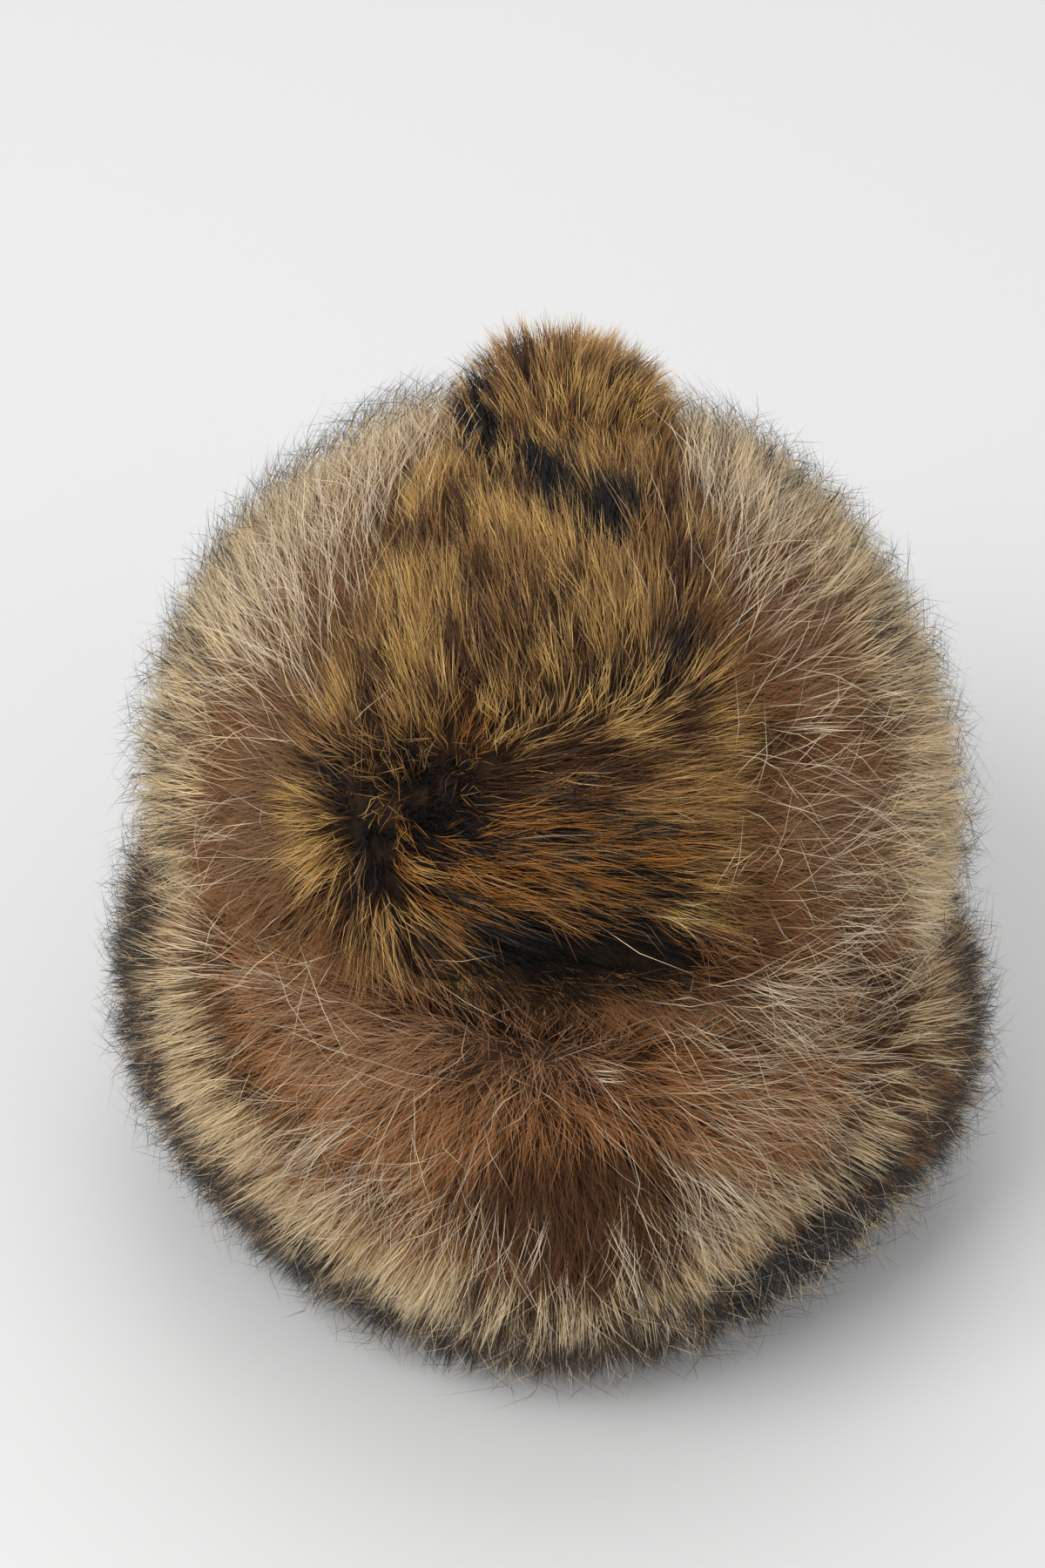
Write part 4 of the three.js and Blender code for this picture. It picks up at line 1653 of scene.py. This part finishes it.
@dataclass
class CuffHair:
    """The cuff's long hair: fine wool that shows at the front, and banded guard hair with black tips."""

    form: HatForm
    growth: CuffGrowth
    viewer: Viewer
    outline: Outline
    wool_clumps: int = 22000
    guard_clumps: int = 5700
    wool: HairStyle = HairStyle(
        length=0.018, rise=0.020, width=0.0003, per_clump=4, clump_spread=0.002, gather=0.0, rings=3,
        stray=0.38, frizz=0.0012, roll_spread=0.6, uneven=0.25,
    )
    guard: HairStyle = HairStyle(
        length=0.042, rise=0.0275, width=0.00036, per_clump=8, clump_spread=0.0021, gather=0.65, stray=0.12,
        frizz=0.0005, rise_spread=0.2, tip_width=0.75,
    )
    wool_finish: HairFinish = HairFinish("cuff_wool_hair", WOOL_COLUMNS, 0.7, (1.22, 1.6), 0.1)
    guard_finish: HairFinish = HairFinish("cuff_guard_hair", GUARD_COLUMNS, 0.42)
    front_share: float = 0.012
    pinkish: tuple[Oval, ...] = (
        Oval((-0.020, 0.030), (0.060, 0.024), 0),
        Oval((-0.09, 0.05), (0.03, 0.02), 0, 0.5),
    )
    # The first oval is painted shade on the cuff's top under the lip's overhang; the second darkens the wool
    # low on the cuff's front.
    dark: tuple[Oval, ...] = (
        Oval((0.0, 0.052), (0.052, 0.009), 2, 0.8),
        Oval((0.010, -0.034), (0.050, 0.022), 0, 1.2),
    )
    band_width: float = 0.017
    edge_width: float = 0.006
    heavy_edge: tuple[Oval, ...] = (
        Oval((0.115, -0.035), (0.085, 0.045), 40, 2.2),
        Oval((-0.115, -0.030), (0.055, 0.026), -48, 1.0),
    )
    low_right: Oval = Oval((0.095, -0.075), (0.075, 0.035), 35)
    marks: tuple[Mark, ...] = (
        Mark(GuardCoat.GRIZZLED, Oval((0.155, 0.015), (0.025, 0.045), 10, 0.55)),
        Mark(GuardCoat.DARK, Oval((0.005, -0.084), (0.055, 0.024), 0, 0.6)),
    )

    def build_wool(self, rng: np.random.Generator) -> bpy.types.Object:
        """Makes the fine wool.

        Args:
            rng: Source of the random differences.

        Returns:
            The piece.
        """
        ground = self.growth.ground(self.wool_clumps * 3, CuffPelt.depth, rng)
        ground = ground.chosen(slice(0, self.wool_clumps))
        chart = self.viewer.chart(ground.shown_at(self.wool.length, self.wool.rise))
        facing = self.viewer.facing(ground.place, ground.outward)
        shade = ripple(ground.place, WOOL_BLOTCH, 43) + 1.7 * most_of(self.pinkish, chart, facing)
        # The dark ovals darken the wool: painted shade under the lip, and darker wool low on the front.
        shade = shade - 2.2 * most_of(self.dark, chart, facing) + rng.normal(size=len(chart)) * WOOL_SPECKLE
        coats = np.where(shade > PINKISH_ABOVE, WoolCoat.PINKISH.value, WoolCoat.REDDISH.value)
        inside = self.outline.inside(ground.tips(self.wool.length, self.wool.rise))
        gap = smooth_step(inside, 0.014, 0.022) * (1.0 - smooth_step(inside, 0.028, 0.045))
        coats = np.where(shade - 1.2 * gap < -0.8, WoolCoat.DARK.value, coats)
        low_front = smooth_step(-chart[:, 1], 0.05, 0.08)
        coats = np.where(rng.random(len(chart)) < 0.8 * low_front, WoolCoat.DARK.value, coats)
        low_right = self.low_right.weight(chart) * (1.0 - smooth_step(inside, 0.010, 0.024))
        coats = np.where(rng.random(len(chart)) < 0.9 * low_right, WoolCoat.BLACK.value, coats)
        column, jitter = map_columns(coats, len(WoolCoat), rng)
        short = np.maximum(low_front, low_right)
        strands = self.wool.grow(ground, rng, column=column, jitter=jitter, tall=1.0 - 0.45 * short)
        made = strands.build("cuff_wool_hair", self.form)
        dress(made, "cuff_fur", self.wool_finish.material())
        return made

    def build_guard(self, rng: np.random.Generator) -> bpy.types.Object:
        """Makes the guard hair.

        Args:
            rng: Source of the random differences.

        Returns:
            The piece.
        """
        ground = self.growth.ground(self.guard_clumps * 8, CuffPelt.depth, rng)
        facing = self.viewer.facing(ground.place, ground.outward)
        inside = self.outline.inside(ground.tips(self.guard.length, self.guard.rise))
        band = outline_band(inside, facing, self.band_width, rng)
        crowd = self.front_share + (1.0 - self.front_share) * band
        kept = np.flatnonzero(rng.random(len(crowd)) < crowd)[: self.guard_clumps]
        ground, facing, inside, band = ground.chosen(kept), facing[kept], inside[kept], band[kept]
        draw = rng.random(len(kept))
        heavy = most_of(self.heavy_edge, self.viewer.chart(ground.place), facing + 1.0)
        edge = self.edge_width * (1.0 + heavy)
        at_edge = (inside + rng.normal(size=len(kept)) * 0.0015 < edge) | (facing < 0.1)
        edge_coats = np.where(draw < 0.9, GuardCoat.BANDED.value, GuardCoat.GRIZZLED.value)
        edge_coats = np.where(draw < 0.55 * heavy, GuardCoat.EDGE.value, edge_coats)
        coats = np.where(at_edge, edge_coats, GuardCoat.CREAM.value)
        chart = self.viewer.chart(ground.tips(self.guard.length, self.guard.rise))
        coats = paint(coats, self.marks, chart, np.ones(len(kept)), rng)
        coats = np.where(band < 0.3, GuardCoat.PALE.value, coats)
        column, jitter = map_columns(coats, len(GuardCoat), rng)
        low_front = smooth_step(-chart[:, 1], 0.05, 0.09) * (facing > -0.3)
        low_front = np.maximum(low_front, 1.1 * self.low_right.weight(chart))
        tall = 1.0 + 0.1 * ripple(ground.place, 0.012, 19) - 0.14 * low_front
        long = 1.0 - 0.2 * low_front
        strands = self.guard.grow(ground, rng, column=column, jitter=jitter, tall=tall, long=long)
        made = strands.build("cuff_guard_hair", self.form)
        dress(made, "cuff_fur", self.guard_finish.material())
        return made


@dataclass
class SingleHair:
    """Single thin pale hairs: close together in some places, and loose over the wool elsewhere."""

    form: HatForm
    crown_growth: CrownGrowth
    cuff_growth: CuffGrowth
    viewer: Viewer
    crown_hairs: int = 14000
    cuff_hairs: int = 11000
    hair: HairStyle = HairStyle(
        length=0.046, rise=0.0265, width=0.00025, per_clump=1, clump_spread=0.0, gather=0.0, rings=4,
        stray=0.5, frizz=0.0012, rise_spread=0.3, early_rise=0.8,
    )
    finish: HairFinish = HairFinish("single_hair", GUARD_COLUMNS, 0.4)
    loose_share: float = 0.07
    sparse: Oval = Oval((0.010, -0.030), (0.050, 0.026), 0, 0.85)
    slit: Oval = Oval((0.010, 0.062), (0.060, 0.012), 2)
    close: tuple[Oval, ...] = (
        Oval((-0.082, 0.200), (0.062, 0.062), -35, 0.42),
        Oval((-0.044, 0.248), (0.034, 0.024), 15, 0.55),
        Oval((0.067, 0.226), (0.024, 0.038), 15, 0.75),
        Oval((0.100, 0.181), (0.038, 0.036), 0, 0.12),
        Oval((0.094, 0.078), (0.038, 0.022), 0, 0.12),
        Oval((0.094, 0.014), (0.036, 0.044), -20, 0.42),
        Oval((0.060, -0.034), (0.034, 0.022), 25, 0.6),
        Oval((-0.082, -0.024), (0.038, 0.024), -40, 0.3),
        Oval((-0.030, -0.045), (0.030, 0.014), 0, 0.35),
    )

    def build(self, rng: np.random.Generator) -> bpy.types.Object:
        """Makes the single hairs of the crown and the cuff as one piece.

        Args:
            rng: Source of the random differences.

        Returns:
            The piece.
        """
        crown = self.crown_growth.ground(self.crown_hairs * 14, CrownPelt.depth, False, rng)
        cuff = self.cuff_growth.ground(self.cuff_hairs * 10, CuffPelt.depth, rng)
        grounds, closeness = [], []
        for part, count in ((crown, self.crown_hairs), (cuff, self.cuff_hairs)):
            chart = self.viewer.chart(part.shown_at(self.hair.length, self.hair.rise))
            near = most_of(self.close, chart, self.viewer.facing(part.place, part.outward))
            standing = 1.0 - smooth_step(self.viewer.facing(part.place, part.outward), 0.1, 0.35)
            crowd = np.maximum(self.loose_share + 0.16 * standing, near) * (1.0 - self.sparse.weight(chart))
            crowd = crowd * (1.0 - crossing(self.slit, part, self.hair.length, self.hair.rise, self.viewer))
            kept = np.flatnonzero(rng.random(len(near)) < crowd)[:count]
            grounds.append(part.chosen(kept))
            closeness.append(near[kept])
        ground = Ground(
            np.concatenate([part.place for part in grounds]),
            np.concatenate([part.outward for part in grounds]),
            np.concatenate([part.lie for part in grounds]),
            crown.bend_radius,
        )
        near = np.concatenate(closeness)
        facing = self.viewer.facing(ground.place, ground.outward)
        coats = np.where(facing > 0.3, GuardCoat.PALE.value, GuardCoat.BANDED.value)
        coats = np.where(rng.random(len(near)) < 0.3 * (facing > 0.3), GuardCoat.CREAM.value, coats)
        column, jitter = map_columns(coats, len(GuardCoat), rng)
        standing = 1.0 - smooth_step(facing, 0.1, 0.4)
        strands = self.hair.grow(
            ground, rng, column=column, jitter=jitter, wild=1.0 - 0.65 * near, tall=1.0 + 0.35 * standing
        )
        made = strands.build("single_hair", self.form)
        dress(made, "long_fur", self.finish.material())
        return made


@dataclass
class Studio:
    """A plain pale floor, soft lights and the camera at the viewer's place."""

    form: HatForm
    viewer: Viewer
    floor_size: float = 12.0
    lens: float = 100.0
    sensor: float = 36.0
    floor_shade: float = 0.79
    sky_strength: float = 0.55
    aim: Place = (0.0, 0.0, 0.15)
    lamps: tuple[tuple[str, Place, float, float], ...] = (
        ("key", (-1.3, -0.9, 2.2), 1.4, 34.0),
        ("fill", (1.8, -1.4, 1.5), 1.6, 8.0),
        ("top", (0.0, 1.0, 2.4), 1.6, 14.0),
    )

    def floor(self) -> None:
        """Lays the pale floor that the hat stands on."""
        half = self.floor_size / 2
        mesh = bpy.data.meshes.new("floor")
        corners = [(-half, -half, 0), (half, -half, 0), (half, half, 0), (-half, half, 0)]
        mesh.from_pydata(corners, [], [(0, 1, 2, 3)])
        made = bpy.data.objects.new("floor", mesh)
        bpy.context.scene.collection.objects.link(made)
        paint_coat = bpy.data.materials.new("floor_paint")
        paint_coat.use_nodes = True
        shader = paint_coat.node_tree.nodes["Principled BSDF"]
        shader.inputs["Base Color"].default_value = (*[self.floor_shade] * 3, 1.0)
        shader.inputs["Roughness"].default_value = 0.9
        shader.inputs["Specular IOR Level"].default_value = 0.1
        mesh.materials.append(paint_coat)
        made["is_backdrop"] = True

    def soft_light(self, name: str, place: Place, size: float, power: float) -> None:
        """Hangs a large soft light that points at the hat.

        Args:
            name: The light's name.
            place: Where it hangs.
            size: Its width.
            power: Its power in watts.
        """
        data = bpy.data.lights.new(name, "AREA")
        data.size = size
        data.energy = power
        lamp = bpy.data.objects.new(name, data)
        lamp.location = place
        lamp.rotation_euler = (Vector(self.aim) - Vector(place)).to_track_quat("-Z", "Y").to_euler()
        bpy.context.scene.collection.objects.link(lamp)

    def lights(self) -> None:
        """Lights the hat from the upper left, with weaker light all round."""
        for lamp in self.lamps:
            self.soft_light(*lamp)
        world = bpy.data.worlds.new("studio")
        world.use_nodes = True
        sky = world.node_tree.nodes["Background"]
        sky.inputs["Color"].default_value = (1.0, 1.0, 1.0, 1.0)
        sky.inputs["Strength"].default_value = self.sky_strength
        bpy.context.scene.world = world

    def camera(self) -> None:
        """Sets the camera at the viewer's eye."""
        data = bpy.data.cameras.new("camera")
        data.lens = self.lens
        data.sensor_width = self.sensor
        camera = bpy.data.objects.new("camera", data)
        camera.location = self.viewer.eye
        camera.rotation_euler = (math.pi / 2 - self.viewer.elevation, 0.0, 0.0)
        bpy.context.scene.collection.objects.link(camera)
        bpy.context.scene.camera = camera

    def build(self) -> None:
        """Sets up the floor, the lights, the camera and plain colour display."""
        self.floor()
        self.lights()
        self.camera()
        bpy.context.scene.view_settings.view_transform = "Standard"


def main() -> None:
    """Builds the hat's pieces in order, then the studio, keeping the hair within the imported model's size.
    """
    logging.basicConfig(level=logging.INFO, format="%(message)s")
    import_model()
    packed_size = [list(corner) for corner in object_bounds()]
    low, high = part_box("crown")
    axis = ((low.x + high.x) / 2, (low.y + high.y) / 2)
    shift = np.array([axis[0], axis[1], 0.0])
    lowest = np.array(packed_size[0]) - shift - np.array([SIDE_ROOM, SIDE_ROOM, 0.0])
    highest = np.array(packed_size[1]) - shift + np.array([SIDE_ROOM, SIDE_ROOM, TOP_ROOM])
    form = HatForm(axis, lowest, highest)
    viewer = Viewer()
    crown_growth = CrownGrowth(form, viewer)
    cuff_growth = CuffGrowth(form)
    rng = np.random.default_rng(OUTLINE_SEED)
    crown_tips = crown_growth.ground(CROWN_PROBES, CrownPelt.depth, False, rng).tips(*CROWN_PROBE_HAIR)
    cuff_tips = cuff_growth.ground(CUFF_PROBES, CuffPelt.depth, rng).tips(*CUFF_PROBE_HAIR)
    outline = Outline.round(viewer, np.concatenate([crown_tips, cuff_tips]))
    crown_hair = CrownHair(form, crown_growth, viewer, outline)
    strip_hair = StripHair(form, crown_growth, viewer)
    cuff_hair = CuffHair(form, cuff_growth, viewer, outline)
    single_hair = SingleHair(form, crown_growth, cuff_growth, viewer)
    for pelt in (CrownLeather(form), CrownPelt(form), StripPelt(form), CuffPelt(form)):
        report(pelt.build())
    growers = (
        crown_hair.build_wool,
        crown_hair.build_guard,
        strip_hair.build,
        cuff_hair.build_wool,
        cuff_hair.build_guard,
        single_hair.build,
    )
    for seed, grow in enumerate(growers, start=1):
        report(grow(np.random.default_rng(seed)))
    Studio(form, viewer).build()


if __name__ == "__main__":
    main()
